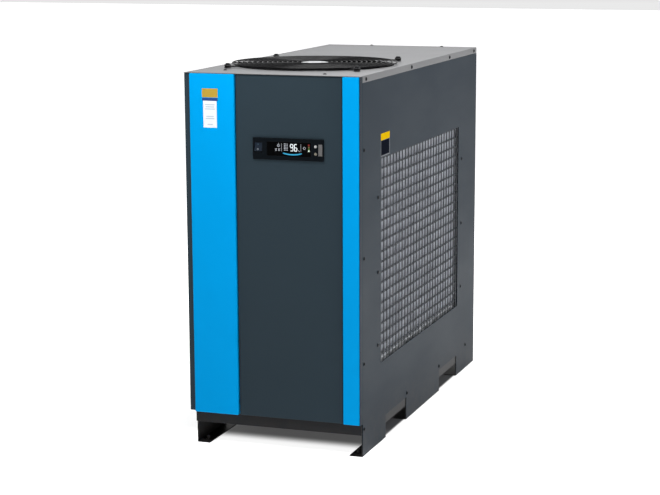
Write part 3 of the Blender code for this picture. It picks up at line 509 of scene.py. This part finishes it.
def front_panels():
    """Two blue panels and the dark centre panel, which is cut out behind the controller."""
    for node, bend, set_back in (("front_left_panel", BLUE_BEND, FILM), ("front_right_panel", BLUE_BEND, 0.0),
                                 ("front_center_panel", DARK_BEND, 0.0)):
        low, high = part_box(node)
        shape = folded((low[0], low[1] + set_back, low[2]), high, [(0, 1, 0)], bend)
        item = piece(node + "_sheet", shape, SLOTS[node], replaces=(node,))
        if node == "front_center_panel":
            bezel_low, bezel_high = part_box("controller_bezel")
            lip = 0.003
            cut(item, box((bezel_low[0] + lip, low[1] - 0.01, bezel_low[2] + lip),
                          (bezel_high[0] - lip, low[1] + 0.01, bezel_high[2] - lip)))


def left_panel():
    low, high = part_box("left_side_panel")
    # The left side takes the charcoal paint, the lighter copy of the same side paint: painted light and shade
    # between the two sides
    piece("left_side_panel_sheet", folded((LEFT, low[1], low[2]), high, [(1, 0, 0)], DARK_BEND),
          "panel_paint", LOOKS["charcoal_paint"], replaces=("left_side_panel",))


def roof():
    """Cover with the fan opening; its skirt is cut away at the front right and rear left corners."""
    open_sides = [(0, 0, -1), (0, -1, 0), (-1, 0, 0)]
    shape = folded((LEFT, cover_low[1], cover_low[2]), (RIGHT, REAR, TOP), open_sides, ROOF_BEND)
    # The roof wears the lighter copy of the side paint: painted light
    item = piece("top_cover_sheet", shape, "panel_paint", ROOF_LIT_COPY, replaces=("top_cover",))
    cut(item, cylinder(0.272, TOP - 0.01, TOP + 0.01, 128, (0, FAN_Y, 0)))
    skirt = TOP - 0.04
    cut(item, box((RIGHT - 0.02, FRONT - 0.01, skirt), (RIGHT + 0.01, FRONT + 0.0275, TOP - SHEET)))
    cut(item, box((LEFT - 0.01, REAR - 0.02, skirt), (LEFT + 0.0204, REAR + 0.01, TOP - SHEET)))


def posts_and_base():
    for node in ("front_left_post", "front_right_post", "rear_left_post", "rear_right_post", "left_rail",
                 "right_rail", "base_pan"):
        refine(node, SHEET_EDGE)


def flat_panels():
    """Right side with the intake window and fork notches, and the rear with its holes."""
    low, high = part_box("right_side_panel")
    outline = [(low[1], low[2])]
    for near in NOTCHES:
        far = near + NOTCH_LENGTH
        outline += [(near, low[2]), (near, NOTCH_TOP), (far, NOTCH_TOP), (far, low[2])]
    outline += [(high[1], low[2]), (high[1], high[2]), (low[1], high[2])]
    window = rectangle(WINDOW_Y, WINDOW_Z, 0.004)
    low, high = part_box("rear_panel")
    holes = [circle(*hole) for hole in REAR_HOLES]
    rear = rectangle((low[0], high[0]), (low[2], high[2]))
    for node, shape in (("right_side_panel", plate(outline, [window], RIGHT - SHEET, RIGHT, "X")),
                        ("rear_panel", plate(rear, holes, REAR - SHEET, REAR, "Y"))):
        item = piece(node + "_sheet", shape, "panel_paint", replaces=(node,))
        round_edges(item, SHEET_EDGE)


def screw(place, axis, side, shape):
    """Hex flange head with its washer face, on a face that looks along an axis."""
    wide, tall = 0.0068, HEAD
    head = lathe([(0, 0), (wide, 0), (wide, tall * 0.3), (wide * 0.72, tall * 0.5), (0, tall * 0.5)], 20)
    lathe([(0, tall * 0.4), (wide * 0.66, tall * 0.4), (wide * 0.66, tall * 0.8), (wide * 0.56, tall),
           (0, tall)], 6, shape=head)
    flip = Matrix.Identity(4) if side > 0 else Matrix.Rotation(math.pi, 4, "X")
    turn = Matrix.Rotation(random.uniform(0, TURN), 4, "Z")
    merge(shape, head, Matrix.Translation(place) @ TURNS[axis] @ flip @ turn)


# Depth behind the front, and height; x and height on the rear; x and depth on the roof
RIGHT_SCREWS = (
    (0.189, 0.840), (0.189, 0.590), (0.187, 0.343), (1.235, 0.840), (1.235, 0.592), (1.235, 0.344),
    (0.042, 1.013), (0.042, 0.661), (0.042, 0.312), (0.042, 0.092), (0.526, 0.095), (0.939, 0.095),
    (1.314, 0.095), (0.063, 1.238), (0.567, 1.238), (1.052, 1.238), (1.400, 1.238))
LEFT_SCREWS = (
    (0.045, 1.013), (0.045, 0.661), (0.045, 0.312), (1.400, 1.013), (1.400, 0.661), (1.400, 0.312),
    (0.063, 1.236), (0.567, 1.236), (1.052, 1.236), (1.400, 1.236))
REAR_SCREWS = [(x, height) for x in (-0.265, -0.02, 0.283) for height in (0.135, 0.70, 1.21)]
ROOF_SCREWS = ((-0.203, 0.118), (0.1655, 0.058), (-0.121, 1.428), (0.1655, 1.428))


def screws():
    groups = (("right_screws", "X", 1, [(RIGHT, FRONT + depth, height) for depth, height in RIGHT_SCREWS]),
              ("left_screws", "X", -1, [(LEFT, FRONT + depth, height) for depth, height in LEFT_SCREWS]),
              ("rear_screws", "Y", 1, [(x, REAR, height) for x, height in REAR_SCREWS]),
              ("roof_screws", "Z", 1, [(x, FRONT + depth, TOP) for x, depth in ROOF_SCREWS]))
    for name, axis, side, places in groups:
        heads = bmesh.new()
        for place in places:
            screw(place, axis, side, heads)
        piece(name, heads, "black_paint", BLACK_BOLT)


# Air intake

def intake():
    """Welded wire mesh: thin upright wires in front of thicker level wires, drawn thick enough to stand in
    for their shadows on the fins as well.
    """
    low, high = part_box("intake_screen")
    pitch = 0.035
    uprights, levels = 28, 20
    thin = 0.0021
    # Painted shadow: the extra thickness of the level wires stands in for their shadows on the fins
    thick = thin * 1.9
    front_x, back_x = high[0] - thin, high[0] - thin * 3.9
    first_y = WINDOW_Y[0] + 0.5 * (WINDOW_Y[1] - WINDOW_Y[0] - (uprights - 1) * pitch)
    first_z = WINDOW_Z[0] + 0.5 * (WINDOW_Z[1] - WINDOW_Z[0] - (levels - 1) * pitch) + 0.0092
    mesh = bmesh.new()
    for step in range(uprights):
        y = first_y + step * pitch
        straight((front_x, y, low[2]), (front_x, y, high[2]), thin, mesh)
    for step in range(levels):
        z = first_z + step * pitch
        straight((back_x, low[1], z), (back_x, high[1], z), thick, mesh)
    piece("intake_mesh", mesh, "black_paint", WIRE, replaces=("intake_screen",))


def condenser():
    """Fin pack on level tubes between galvanised end plates."""
    low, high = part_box("condenser_core")
    fins = bmesh.new()
    count = 330
    end = 0.002
    foil = 0.00024
    lean_most = 0.0004
    pitch = (high[1] - low[1] - 2 * end) / (count - 1)
    for index in range(count):
        y = low[1] + end + index * pitch
        lean = random.uniform(-lean_most, lean_most)
        fin = box((low[0], y - foil / 2, low[2]), (high[0], y + foil / 2, high[2]))
        for vert in fin.verts:
            if vert.co.x > high[0] - 0.001:
                vert.co.y += lean
        merge(fins, fin)
    piece("condenser_fins", fins, "aluminium", FIN, replaces=("condenser_core",))
    tubes = bmesh.new()
    rows = 26
    spacing = 0.0262
    for column, x in enumerate((low[0] + 0.012, low[0] + 0.034)):
        for row in range(rows):
            z = low[2] + 0.018 + (row + 0.5 * column) * spacing
            if z < high[2] - 0.006:
                cylinder(0.0048, low[1] + 0.0005, high[1] - 0.0005, 12, (x, 0, z), "Y", shape=tubes)
    piece("condenser_tubes", tubes, "copper")
    refine("condenser_frame", 0.0005)


# Fan

RINGS, RING_PITCH, OUTER_RING = 14, 0.017, 0.2805
SPOKES = 8
SPOKE = 0.0022                  # radius of the radial wires and the eyelets
SPOKE_DROP = 0.0054             # how far their middle lies below the top of the guard


def guard():
    """Ring guard: rings on radial wires, with a pressed centre disc and four eyelets."""
    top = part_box("fan_guard")[1][2]
    wires = bmesh.new()
    for index in range(RINGS):
        radius = OUTER_RING - RING_PITCH * index
        gauge = 0.0024 if index == 0 else 0.0017
        sides = 96 if radius > 0.12 else 48
        wire([(x, y, top - gauge) for x, y in circle(0, FAN_Y, radius, sides)], gauge, True, wires)
    level = top - SPOKE_DROP
    for index in range(SPOKES):
        turn = TURN * (index + 0.25) / SPOKES
        wire([(radius * math.cos(turn), FAN_Y + radius * math.sin(turn), level)
              for radius in (0.034, 0.15, OUTER_RING)], SPOKE, shape=wires)
    for quarter in range(4):
        turn = TURN * (quarter + 0.5) / 4
        along = Vector((math.cos(turn), math.sin(turn), 0))
        side = Vector((-math.sin(turn), math.cos(turn), 0))
        middle = Vector((0, FAN_Y, level))
        half = [(0.2600, 0.006), (0.2950, 0.0065)]
        half += [(0.3210 + 0.0088 * math.cos(step), 0.0088 * math.sin(step)) for step in (2.3, 1.7, 1.1, 0.5)]
        loop = half + [(0.3298, 0.0)] + [(out, -aside) for out, aside in reversed(half)]
        wire([middle + along * out + side * aside for out, aside in loop], SPOKE, shape=wires)
    piece("fan_guard_wires", wires, "black_paint", GUARD, replaces=("fan_guard",))
    disc = lathe([(0, -0.0008), (0.032, -0.0008), (0.0455, -0.0024), (0.0465, -0.0030), (0.0455, -0.0036),
                  (0.032, -0.0022), (0, -0.0022)], 64, (0, FAN_Y, top))
    piece("fan_guard_disc", disc, "steel")


def guard_feet():
    """Grooved rubber bush and hex flange bolt at each eyelet."""
    for name in ("front_left", "front_right", "rear_right", "rear_left"):
        low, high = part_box("guard_foot_" + name)
        x, y, _ = halfway(low, high)
        place = (x, y, low[2])
        tall = high[2] - low[2]
        bush = lathe([(0, 0), (0.0102, 0), (0.0113, 0.0010), (0.0113, 0.0022), (0.0104, 0.0029),
                      (0.0062, 0.0029), (0.0062, 0.0074), (0.0100, 0.0074), (0.0112, 0.0084),
                      (0.0112, 0.0102), (0.0104, 0.0112), (0, 0.0112)], 40, place)
        piece("guard_bush_" + name, bush, "black_rubber", replaces=("guard_foot_" + name,))
        bolt = lathe([(0, 0.0113), (0.0104, 0.0113), (0.0104, 0.0126), (0.0096, 0.0130), (0, 0.0130)], 40,
                     place)
        lathe([(0, 0.0128), (0.0082, 0.0128), (0.0082, tall - 0.0022), (0.0072, tall - 0.0007),
               (0.0052, tall), (0, tall)], 6, place, shape=bolt)
        piece("guard_bolt_" + name, bolt, "black_paint", BLACK_BOLT)


def blade(turn):
    """A pitched, swept blade that is thin at both edges and narrows at its tip."""
    root, tip = 0.067, 0.2615
    middle = 0.048              # above the hub's lower face
    spans, chords = 14, 12
    layers = []
    shape = bmesh.new()
    for side in (-1, 1):
        grid = []
        for span in range(spans + 1):
            share = span / spans
            radius = root + (tip - root) * share
            half_angle = math.radians(26.5 + 2.5 * share - 5.0 * max(0.0, share - 0.85) / 0.15)
            sweep = math.radians(14.0) * share * share
            row = []
            for chord in range(chords + 1):
                along = -1 + 2 * chord / chords
                angle = turn + sweep + along * half_angle
                thick = 0.0018 * math.sqrt(max(0.0, 1 - along * along)) + 0.0005
                height = middle + (0.034 - 0.010 * share) * along + 0.009 * (1 - along * along) + side * thick
                row.append(shape.verts.new((radius * math.cos(angle), radius * math.sin(angle), height)))
            grid.append(row)
        layers.append(grid)
    for grid in layers:
        for near, far in zip(grid, grid[1:]):
            for chord in range(chords):
                shape.faces.new((near[chord], near[chord + 1], far[chord + 1], far[chord]))
    rims = []
    for grid in layers:
        tail, nose = [row[-1] for row in grid[1:-1]], [row[0] for row in grid[1:-1]]
        rims.append(grid[0] + tail + grid[-1][::-1] + nose[::-1])
    for index in range(len(rims[0])):
        after = (index + 1) % len(rims[0])
        shape.faces.new((rims[0][index], rims[0][after], rims[1][after], rims[1][index]))
    return face_out(shape)


def rotor():
    """Hub with a dished, ribbed cap and five blades."""
    profile = [(0.0074, 0), (0.066, 0), (0.072, 0.004), (0.072, 0.080), (0.069, 0.0855), (0.064, 0.088),
               (0.050, 0.0872), (0.046, 0.0845), (0.030, 0.0838), (0.018, 0.0860), (0, 0.0865), (0, 0.042),
               (0.0074, 0.042)]
    shape = lathe(profile, 72, ring=True)
    blades, ribs = 5, 10
    for index in range(blades):
        merge(shape, blade(index * TURN / blades))
    for index in range(ribs):
        rib = box((0.047, -0.0012, 0.0835), (0.0635, 0.0012, 0.0876))
        merge(shape, rib, Matrix.Rotation(index * TURN / ribs, 4, "Z"))
    bmesh.ops.translate(shape, vec=(0, FAN_Y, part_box("fan_rotor")[0][2]), verts=shape.verts[:])
    piece("fan_rotor_moulding", shape, "black_plastic", BLADE, "fan", ("fan_rotor",))


def shroud():
    """Inlet ring with a rolled lip, the motor bracket and the motor."""
    low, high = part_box("fan_shroud")
    foot = low[2] - high[2]
    profile = [(0.2752, foot), (0.2770, foot), (0.2770, -0.006), (0.2790, -0.0025), (0.2815, -0.002),
               (0.2815, 0), (0.2785, -0.0004), (0.2762, -0.003), (0.2752, -0.007)]
    ring = lathe(profile, 128, (0, FAN_Y, high[2]), ring=True)
    piece("fan_shroud_ring", ring, "black_paint", PIT, replaces=("fan_shroud",))
    refine("motor_bracket", 0.0005)
    refine("fan_motor", 0.001)


# Controller

def controller():
    refine("controller_bezel", 0.0007, BEZEL, 3)
    low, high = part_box("display_lens")
    item = piece("display_window", box(low, high), "lens", replaces=("display_lens",))
    round_edges(item, 0.0005)
    display(low[1])
    port_flap()
    refine("power_rocker", 0.0009, ROCKER, 3)
    for node, look in (("upper_button", None), ("lower_button", CREAM)):
        low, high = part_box(node)
        x, _, z = halfway(low, high)
        radius = (high[0] - low[0]) / 2
        cap = lathe([(0, low[1] + 0.0003), (radius * 0.55, low[1] + 0.0002), (radius * 0.82, low[1]),
                     (radius, low[1] + 0.0008), (radius, high[1]), (0, high[1])], 40, (x, 0, z), "Y")
        piece(node + "_cap", cap, "white_plastic", look, BODIES[node], (node,))
    rocker_marks()


def port_flap():
    """Rubber cover with level ribs across its face."""
    low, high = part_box("port_flap")
    flap = box(low, high)
    ribs = 11
    margin = 0.0028
    for index in range(ribs):
        z = low[2] + margin + index * (high[2] - low[2] - 2 * margin) / (ribs - 1)
        box((low[0] + 0.001, low[1] - 0.0009, z - 0.0009), (high[0] - 0.0035, low[1] + 0.0004, z + 0.0009),
            flap)
    item = piece("port_flap_ribs", flap, "grey_rubber", body="flap", replaces=("port_flap",))
    round_edges(item, 0.0003)


def rocker_marks():
    """Line and ring marks on the two halves of the rocker's face. Both are given a faint glow as painted
    light; the lower ring is paler and glows more than the upper line.
    """
    rest_tilt = math.radians(-8.0)
    place = Matrix.Translation((-0.0456, FRONT + 0.0100, 1.0155)) @ Matrix.Rotation(rest_tilt, 4, "X")
    slope = math.atan2(0.0025, 0.0148)      # how far each half of the face leans from the rocker's middle
    # Painted light: printed marks given a faint glow
    faint_glow = lit("rocker_mark_blue", (0.045, 0.095, 0.140), 0.05)
    brighter_glow = lit("rocker_mark_grey", (0.30, 0.34, 0.38), 0.08)
    line = plate(rectangle((-0.0008, 0.0008), (-0.0028, 0.0028), 0.0004), [], -0.0001, 0.0003, "Y")
    ring = plate(circle(0, 0, 0.0028, 32), [circle(0, 0, 0.0018, 32)], -0.0001, 0.0003, "Y")
    for name, shape, side, look in (("rocker_on_mark", line, 1, faint_glow), ("rocker_off_mark", ring, -1, brighter_glow)):
        spot = Matrix.Translation((0, -0.00585, side * 0.0080)) @ Matrix.Rotation(side * slope, 4, "X")
        bmesh.ops.transform(shape, matrix=place @ spot, verts=shape.verts[:])
        piece(name, shape, "white_plastic", look, "rocker")


SEGMENTS = {"top": ((0.12, 1.0), (0.88, 1.0)), "upper_right": ((1.0, 0.93), (1.0, 0.57)),
            "lower_right": ((1.0, 0.43), (1.0, 0.07)), "bottom": ((0.12, 0.0), (0.88, 0.0)),
            "lower_left": ((0.0, 0.07), (0.0, 0.43)), "upper_left": ((0.0, 0.57), (0.0, 0.93)),
            "middle": ((0.12, 0.5), (0.88, 0.5))}
NINE = ("top", "upper_right", "lower_right", "bottom", "upper_left", "middle")
SIX = ("top", "lower_right", "bottom", "lower_left", "upper_left", "middle")


def mark(outline, face, holes=(), shape=None):
    """A flat lit mark that stands 0.15 mm proud of the window."""
    return plate(outline, list(holes), face - 0.00015, face + 0.0001, "Y", shape)


def bar(shape, start, end, width, face):
    """A bar with pointed ends."""
    first, second = Vector(start), Vector(end)
    along = (second - first).normalized()
    side = Vector((-along.y, along.x)) * width / 2
    tip = along * width / 2
    outline = [first - tip, first + side, second + side, second + tip, second - side, first - side]
    mark([tuple(point) for point in outline], face, shape=shape)


def reading(face):
    """Two digits in bars."""
    bottom = 1.0070
    wide, tall, stroke = 0.0088, 0.0210, 0.0022
    digits = bmesh.new()
    for left, segments in ((0.0668, NINE), (0.0803, SIX)):
        for name in segments:
            start, end = [(left + wide * u, bottom + tall * v) for u, v in SEGMENTS[name]]
            bar(digits, start, end, stroke, face)
    return digits


def symbols(face):
    """Dividers, a dial, short rules, a block of level marks, two dots and a nut."""
    marks = bmesh.new()
    for x in (0.0365, 0.1025):
        bar(marks, (x, 1.0045), (x, 1.0300), 0.0009, face)
    mark(circle(0.0260, 1.0230, 0.0046, 28), face, [circle(0.0260, 1.0230, 0.0034, 28)], marks)
    bar(marks, (0.0260, 1.0190), (0.0260, 1.0310), 0.0010, face)
    for row, length in ((1.0125, 0.0052), (1.0095, 0.0036), (1.0065, 0.0044)):
        bar(marks, (0.0150, row), (0.0150 + length, row), 0.0015, face)
        bar(marks, (0.0250, row), (0.0250 + length * 1.3, row), 0.0015, face)
    pitch = 0.0050
    for column in range(3):
        for row in range(5):
            x, z = 0.0450 + column * pitch, 1.0075 + row * pitch
            mark(rectangle((x, x + 0.0032), (z, z + 0.0030 - 0.0004 * column)), face, shape=marks)
    for x, z in ((0.0950, 1.0085), (0.0975, 1.0060)):
        mark(circle(x, z, 0.0013, 14), face, shape=marks)
    mark(circle(0.1145, 1.0170, 0.0048, 6), face, [circle(0.1145, 1.0170, 0.0033, 6)], marks)
    return marks


def arc(face):
    """A shallow arc below the reading, with rounded ends."""
    left, span, level, sag, half = 0.0405, 0.0660, 0.9995, 0.0048, 0.0021
    steps = 24
    outline = []
    for side in (-1, 1):
        for step in range(steps + 1):
            share = step / steps if side < 0 else 1 - step / steps
            away = 2 * share - 1
            height = level - sag * (1 - away ** 2) + side * half * math.sqrt(max(0.04, 1 - away ** 14))
            outline.append((left + span * share, height))
    return mark(outline, face)


LAMPS = (("red", 1.0275, (0.16, 0.006, 0.004), 0.25), ("amber", 1.0210, (0.10, 0.065, 0.025), 0.20),
         ("green", 1.0147, (0.050, 0.120, 0.022), 0.25), ("white", 1.0085, (0.50, 0.60, 0.50), 0.60))


def display(face):
    """Reading, plain symbols, status lamps and the blue arc on the window."""
    white = lit("display_white", (0.62, 0.66, 0.68), 0.75)
    grey = lit("display_grey", (0.34, 0.36, 0.40), 0.20)
    blue = lit("display_blue", (0.012, 0.22, 0.38), 0.42)
    piece("display_digits", reading(face), "white_plastic", white)
    piece("display_symbols", symbols(face), "white_plastic", grey)
    for name, z, colour, strength in LAMPS:
        lamp = mark(rectangle((0.1272, 0.1322), (z - 0.0026, z + 0.0022), 0.0007), face)
        piece("display_lamp_" + name, lamp, "white_plastic", lit("display_" + name, colour, strength))
    piece("display_arc", arc(face), "white_plastic", blue)


def label(name, x_range, z_range, look, layer=0):
    """A thin printed film on the left blue panel."""
    face = FRONT + FILM - 0.0001 * layer
    shape = plate(rectangle(x_range, z_range, 0.0015), [], face - 0.0001, face + 0.0002, "Y")
    piece(name, shape, "white_plastic", look)


def labels():
    """A plain paper label with a gold head, and a blank yellow and dark plate on the side."""
    x = blue_low[0]
    middle = x + 0.0725
    white = printed("label_white", (0.66, 0.68, 0.70))
    gold = printed("label_gold", (0.38, 0.245, 0.022), 0.36)
    navy = printed("label_navy", (0.004, 0.040, 0.185))
    grey = printed("label_grey", (0.34, 0.42, 0.52))
    label("label_paper", (x + 0.049, x + 0.096), (1.073, 1.166), white)
    label("label_head", (x + 0.045, x + 0.100), (1.171, 1.200), gold)
    label("label_band", (x + 0.045, x + 0.100), (1.160, 1.1695), navy, 1)
    lines = bmesh.new()
    for z, width in ((1.146, 0.034), (1.139, 0.030), (1.132, 0.034), (1.108, 0.026), (1.101, 0.030),
                     (1.082, 0.018)):
        rule = rectangle((middle - width / 2, middle + width / 2), (z, z + 0.0028))
        plate(rule, [], FRONT + FILM - 0.0002, FRONT + FILM + 0.0001, "Y", lines)
    piece("label_rules", lines, "white_plastic", grey)
    yellow = printed("plate_yellow", (0.40, 0.255, 0.003), 0.5, 0.0)
    dark = printed("plate_dark", (0.0045, 0.0055, 0.0090), 0.5, 0.0)
    rim = printed("plate_rim", (0.13, 0.135, 0.145), 0.5, 0.0)
    for name, look, depth, height, layer in (
            ("plate_rim_film", rim, (0.219, 0.315), (0.970, 1.0235), 0),
            ("plate_dark_film", dark, (0.2215, 0.3105), (0.9735, 1.0225), 1),
            ("plate_yellow_film", yellow, (0.219, 0.315), (1.0238, 1.0460), 0)):
        face = RIGHT + 0.0001 * layer
        outline = rectangle([FRONT + value for value in depth], height, 0.001)
        piece(name, plate(outline, [], face - 0.0002, face + 0.0001, "X"), "white_plastic", look)


# Rear ports and service parts

def port(name):
    """Welded pipe and raised-face flange with four bolt holes, a steel gasket face and a rubber grommet."""
    low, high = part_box(name)
    x, _, z = halfway(low, high)
    end, start = high[1], low[1]
    back = end - 0.024
    bore, outer, rim, step = 0.039, 0.04445, 0.09525, 0.0016
    profile = [(bore, start), (outer, start), (outer, back - 0.012), (0.0475, back - 0.007),
               (0.0525, back - 0.001), (0.0535, back), (0.0935, back), (rim, back + 0.0015),
               (rim, end - 0.0031), (0.0940, end - step), (0.0640, end - step), (0.0635, end), (0.0397, end),
               (bore, end - 0.0007)]
    pipe = lathe(profile, 96, (x, 0, z), "Y", ring=True)
    item = piece(name + "_turned", pipe, "black_paint", replaces=(name,))
    bolt_circle, bolt_hole = 0.0762, 0.0095
    for quarter in range(4):
        turn = TURN * (quarter + 0.5) / 4
        place = (x + bolt_circle * math.cos(turn), 0, z + bolt_circle * math.sin(turn))
        cut(item, cylinder(bolt_hole, back - 0.01, end + 0.01, 32, place, "Y"))
    grooves = bmesh.new()
    ridge_deep, ridge_wide = 0.0003, 0.0011
    for index in range(9):
        radius = 0.0425 + index * 0.0023
        ridge = rectangle((radius, radius + ridge_wide), (-ridge_deep, 0))
        lathe(ridge, 96, (x, end, z), "Y", ring=True, shape=grooves)
    piece(name + "_gasket_face", grooves, "steel")
    collar = lathe([(0.0450, 0), (0.0560, 0), (0.0560, 0.0016), (0.0500, 0.0042), (0.0450, 0.0042)], 72,
                   (x, REAR, z), "Y", ring=True)
    piece(name + "_grommet", collar, "black_rubber")


def gland():
    """Cable gland: hex body and ribbed cap."""
    low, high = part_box("cable_gland")
    x, _, z = halfway(low, high)
    place = (x, low[1], z)
    bore = 0.008
    shape = lathe([(bore, 0), (0.0168, 0), (0.0168, 0.009), (0.0155, 0.010), (bore, 0.010)], 6, place, "Y",
                  ring=True)
    lathe([(bore, 0.009), (0.0135, 0.009), (0.0140, 0.012), (0.0138, 0.024), (0.0105, 0.030), (bore, 0.030)],
          48, place, "Y", ring=True, shape=shape)
    ribs = 18
    for index in range(ribs):
        rib = box((0.0133, 0.0125, -0.0006), (0.0147, 0.0235, 0.0006))
        merge(shape, rib, Matrix.Translation(place) @ Matrix.Rotation(index * TURN / ribs, 4, "Y"))
    piece("cable_gland_ribbed", shape, "black_plastic", replaces=("cable_gland",))


def carried_over():
    """Procedural finishes on the CAD nodes that stay, and rounded copies of the blocky ones."""
    for node in ("electrical_plate", "contactor", "compressor_terminal_box", "heat_exchanger", "drain_valve",
                 "expansion_valve", "hot_gas_valve", "drain_ball_valve", "drain_lever", "sight_glass"):
        refine(node, 0.0012 if node in ("heat_exchanger", "contactor") else 0.0008)
    for node, item in frame["nodes"].items():
        look = LOOKS[SLOTS[node]]
        if item.data.materials:
            item.data.materials[0] = look
        else:
            item.data.materials.append(look)
        smoothed(item.data)


# Studio

WORLD_FRONT, WORLD_BACK = 0.06, 0.82    # strength of the surroundings ahead of and behind the object
NEAR_GLOW, FAR_GLOW = 0.18, 0.90        # the floor's own light under the object and away from it; the weaker glow near the object leaves painted shade round it
FRONT_EDGE_PAINTED_LIGHT = 0.90                       # the same along the object's front, a painted pool of light on the floor there
LIT_FLOOR, SHADED_FLOOR, DEEP_FLOOR = 1.0, 0.42, 0.06   # glow strength in the open, and the painted shade under the front edge and further back
# Name, place, aimed at, diameter, power
LIGHTS = (
    ("overhead_softbox", (0.2, 0.9, 3.6), (0, 0.2, 0), 3.2, 179),
    ("front_high_softbox", (-1.2, -3.4, 3.3), (0, -0.7, 0.9), 2.0, 2),
    ("right_softbox", (4.0, -0.5, 3.0), (0.3, 0, 0.6), 2.5, 180),
    ("left_softbox", (-4.0, -1.0, 2.5), (-0.3, 0, 0.6), 2.5, 6),
    ("front_near_softbox", (-0.3, -1.9, 2.4), (0, -0.75, 1.05), 1.0, 34),
)


def floor_look():
    """Pale sweep that glows away from the object and, as painted light, along its front, with a soft painted
    shadow under it.
    """
    graph = Graph("studio_white")
    x, y = graph.axis(0), graph.axis(1)
    # Painted shadow: a dark, weakly glowing patch over the object's footprint
    under = graph.ramp(x, LEFT + 0.020, LEFT + 0.075)
    for value, low, high in ((x, RIGHT - 0.004, RIGHT - 0.014), (y, FRONT + 0.095, FRONT + 0.190),
                             (y, REAR - 0.002, REAR - 0.040)):
        under = graph.times(under, graph.ramp(value, low, high))
    tone = graph.mix(graph.noise(0.8, 2.0), (0.86, 0.86, 0.86), (0.88, 0.88, 0.88))
    tone = graph.mix(under, tone, (0.050, 0.052, 0.056))
    far = graph.add("ShaderNodeVectorMath", {"operation": "LENGTH"}, first=graph.place).outputs["Value"]
    glow = graph.ramp(far, 0.7, 3.0, NEAR_GLOW, FAR_GLOW)
    # Painted shade: the patch glows less further back under the object
    deep = graph.ramp(y, FRONT + 0.300, FRONT + 0.400, SHADED_FLOOR, DEEP_FLOOR)
    strength = graph.add("ShaderNodeMapRange", Value=under, To_Min=LIT_FLOOR, To_Max=deep).outputs[0]
    graph.feed(graph.shader.inputs["Emission Strength"], strength)
    glow = graph.mix(glow, (0.0, 0.0, 0.0), (1.0, 1.0, 1.0))
    # Painted light: strong glow on the floor along the object's front
    edge = FRONT_EDGE_PAINTED_LIGHT
    for value, low, high in ((y, FRONT - 0.45, FRONT - 0.05), (y, FRONT + 0.200, FRONT + 0.110),
                             (x, LEFT - 0.20, LEFT + 0.03), (x, RIGHT + 0.20, RIGHT - 0.03)):
        edge = graph.times(edge, graph.ramp(value, low, high))
    glow = graph.mix(edge, glow, (1.0, 1.0, 1.0))
    graph.feed(graph.shader.inputs["Emission Color"], glow)
    return graph.finish(tone, graph.uneven(0.5, 2.0, 0.62, 0.68), Specular_IOR_Level=0.2)


def floor():
    grid = bmesh.new()
    bmesh.ops.create_grid(grid, x_segments=1, y_segments=1, size=30.0)
    item = add_object("studio_floor", grid)
    item.data.materials.append(floor_look())


def surroundings():
    """White surroundings, brighter behind the object than ahead of it."""
    world = bpy.data.worlds.new("studio_air")
    scene.world = world
    world.use_nodes = True
    tree = world.node_tree
    sky = tree.nodes["Background"]
    sky.inputs["Color"].default_value = (1.0, 1.0, 1.0, 1.0)
    split = tree.nodes.new("ShaderNodeSeparateXYZ")
    ramp = tree.nodes.new("ShaderNodeMapRange")
    ramp.interpolation_type = "SMOOTHSTEP"
    tree.links.new(tree.nodes.new("ShaderNodeTexCoord").outputs["Generated"], split.inputs[0])
    tree.links.new(split.outputs["Y"], ramp.inputs[0])
    for index, number in zip((1, 2, 3, 4), (0.1, 0.8, WORLD_FRONT, WORLD_BACK)):
        ramp.inputs[index].default_value = number
    tree.links.new(ramp.outputs[0], sky.inputs["Strength"])


def lights():
    for name, place, target, size, power in LIGHTS:
        light = bpy.data.lights.new(name, "AREA")
        light.shape = "DISK"
        light.size = size
        light.energy = power
        lamp = bpy.data.objects.new(name, light)
        lamp.location = place
        lamp.rotation_euler = (Vector(target) - Vector(place)).to_track_quat("-Z", "Y").to_euler()
        scene.collection.objects.link(lamp)


CAMERA_PLACE = (2.1016, -6.1959, 1.7270)
CAMERA_TURN = (-18.846, 11.267, 0.164)      # degrees clockwise from +Y, down, and rolled
FOCAL_LENGTH, SENSOR = 99.18, 36.0          # millimetres
SHIFT = (-0.0202, 0.0556)


def camera():
    yaw, pitch, roll = (math.radians(value) for value in CAMERA_TURN)
    ahead = Vector((math.sin(yaw) * math.cos(pitch), math.cos(yaw) * math.cos(pitch), -math.sin(pitch)))
    level = Vector((math.cos(yaw), -math.sin(yaw), 0))
    down = ahead.cross(level)
    right = math.cos(roll) * level + math.sin(roll) * down
    up = math.sin(roll) * level - math.cos(roll) * down
    data = bpy.data.cameras.new("camera")
    data.lens = FOCAL_LENGTH
    data.sensor_width = SENSOR
    data.shift_x, data.shift_y = SHIFT
    item = bpy.data.objects.new("camera", data)
    item.matrix_world = Matrix.Translation(CAMERA_PLACE) @ Matrix((right, up, -ahead)).transposed().to_4x4()
    scene.collection.objects.link(item)
    scene.camera = item
    scene.view_settings.view_transform = "Standard"


camera()
floor()
surroundings()
lights()
front_panels()
left_panel()
roof()
posts_and_base()
flat_panels()
screws()
intake()
condenser()
guard()
guard_feet()
rotor()
shroud()
controller()
labels()
port("inlet_pipe")
port("outlet_pipe")
gland()
carried_over()
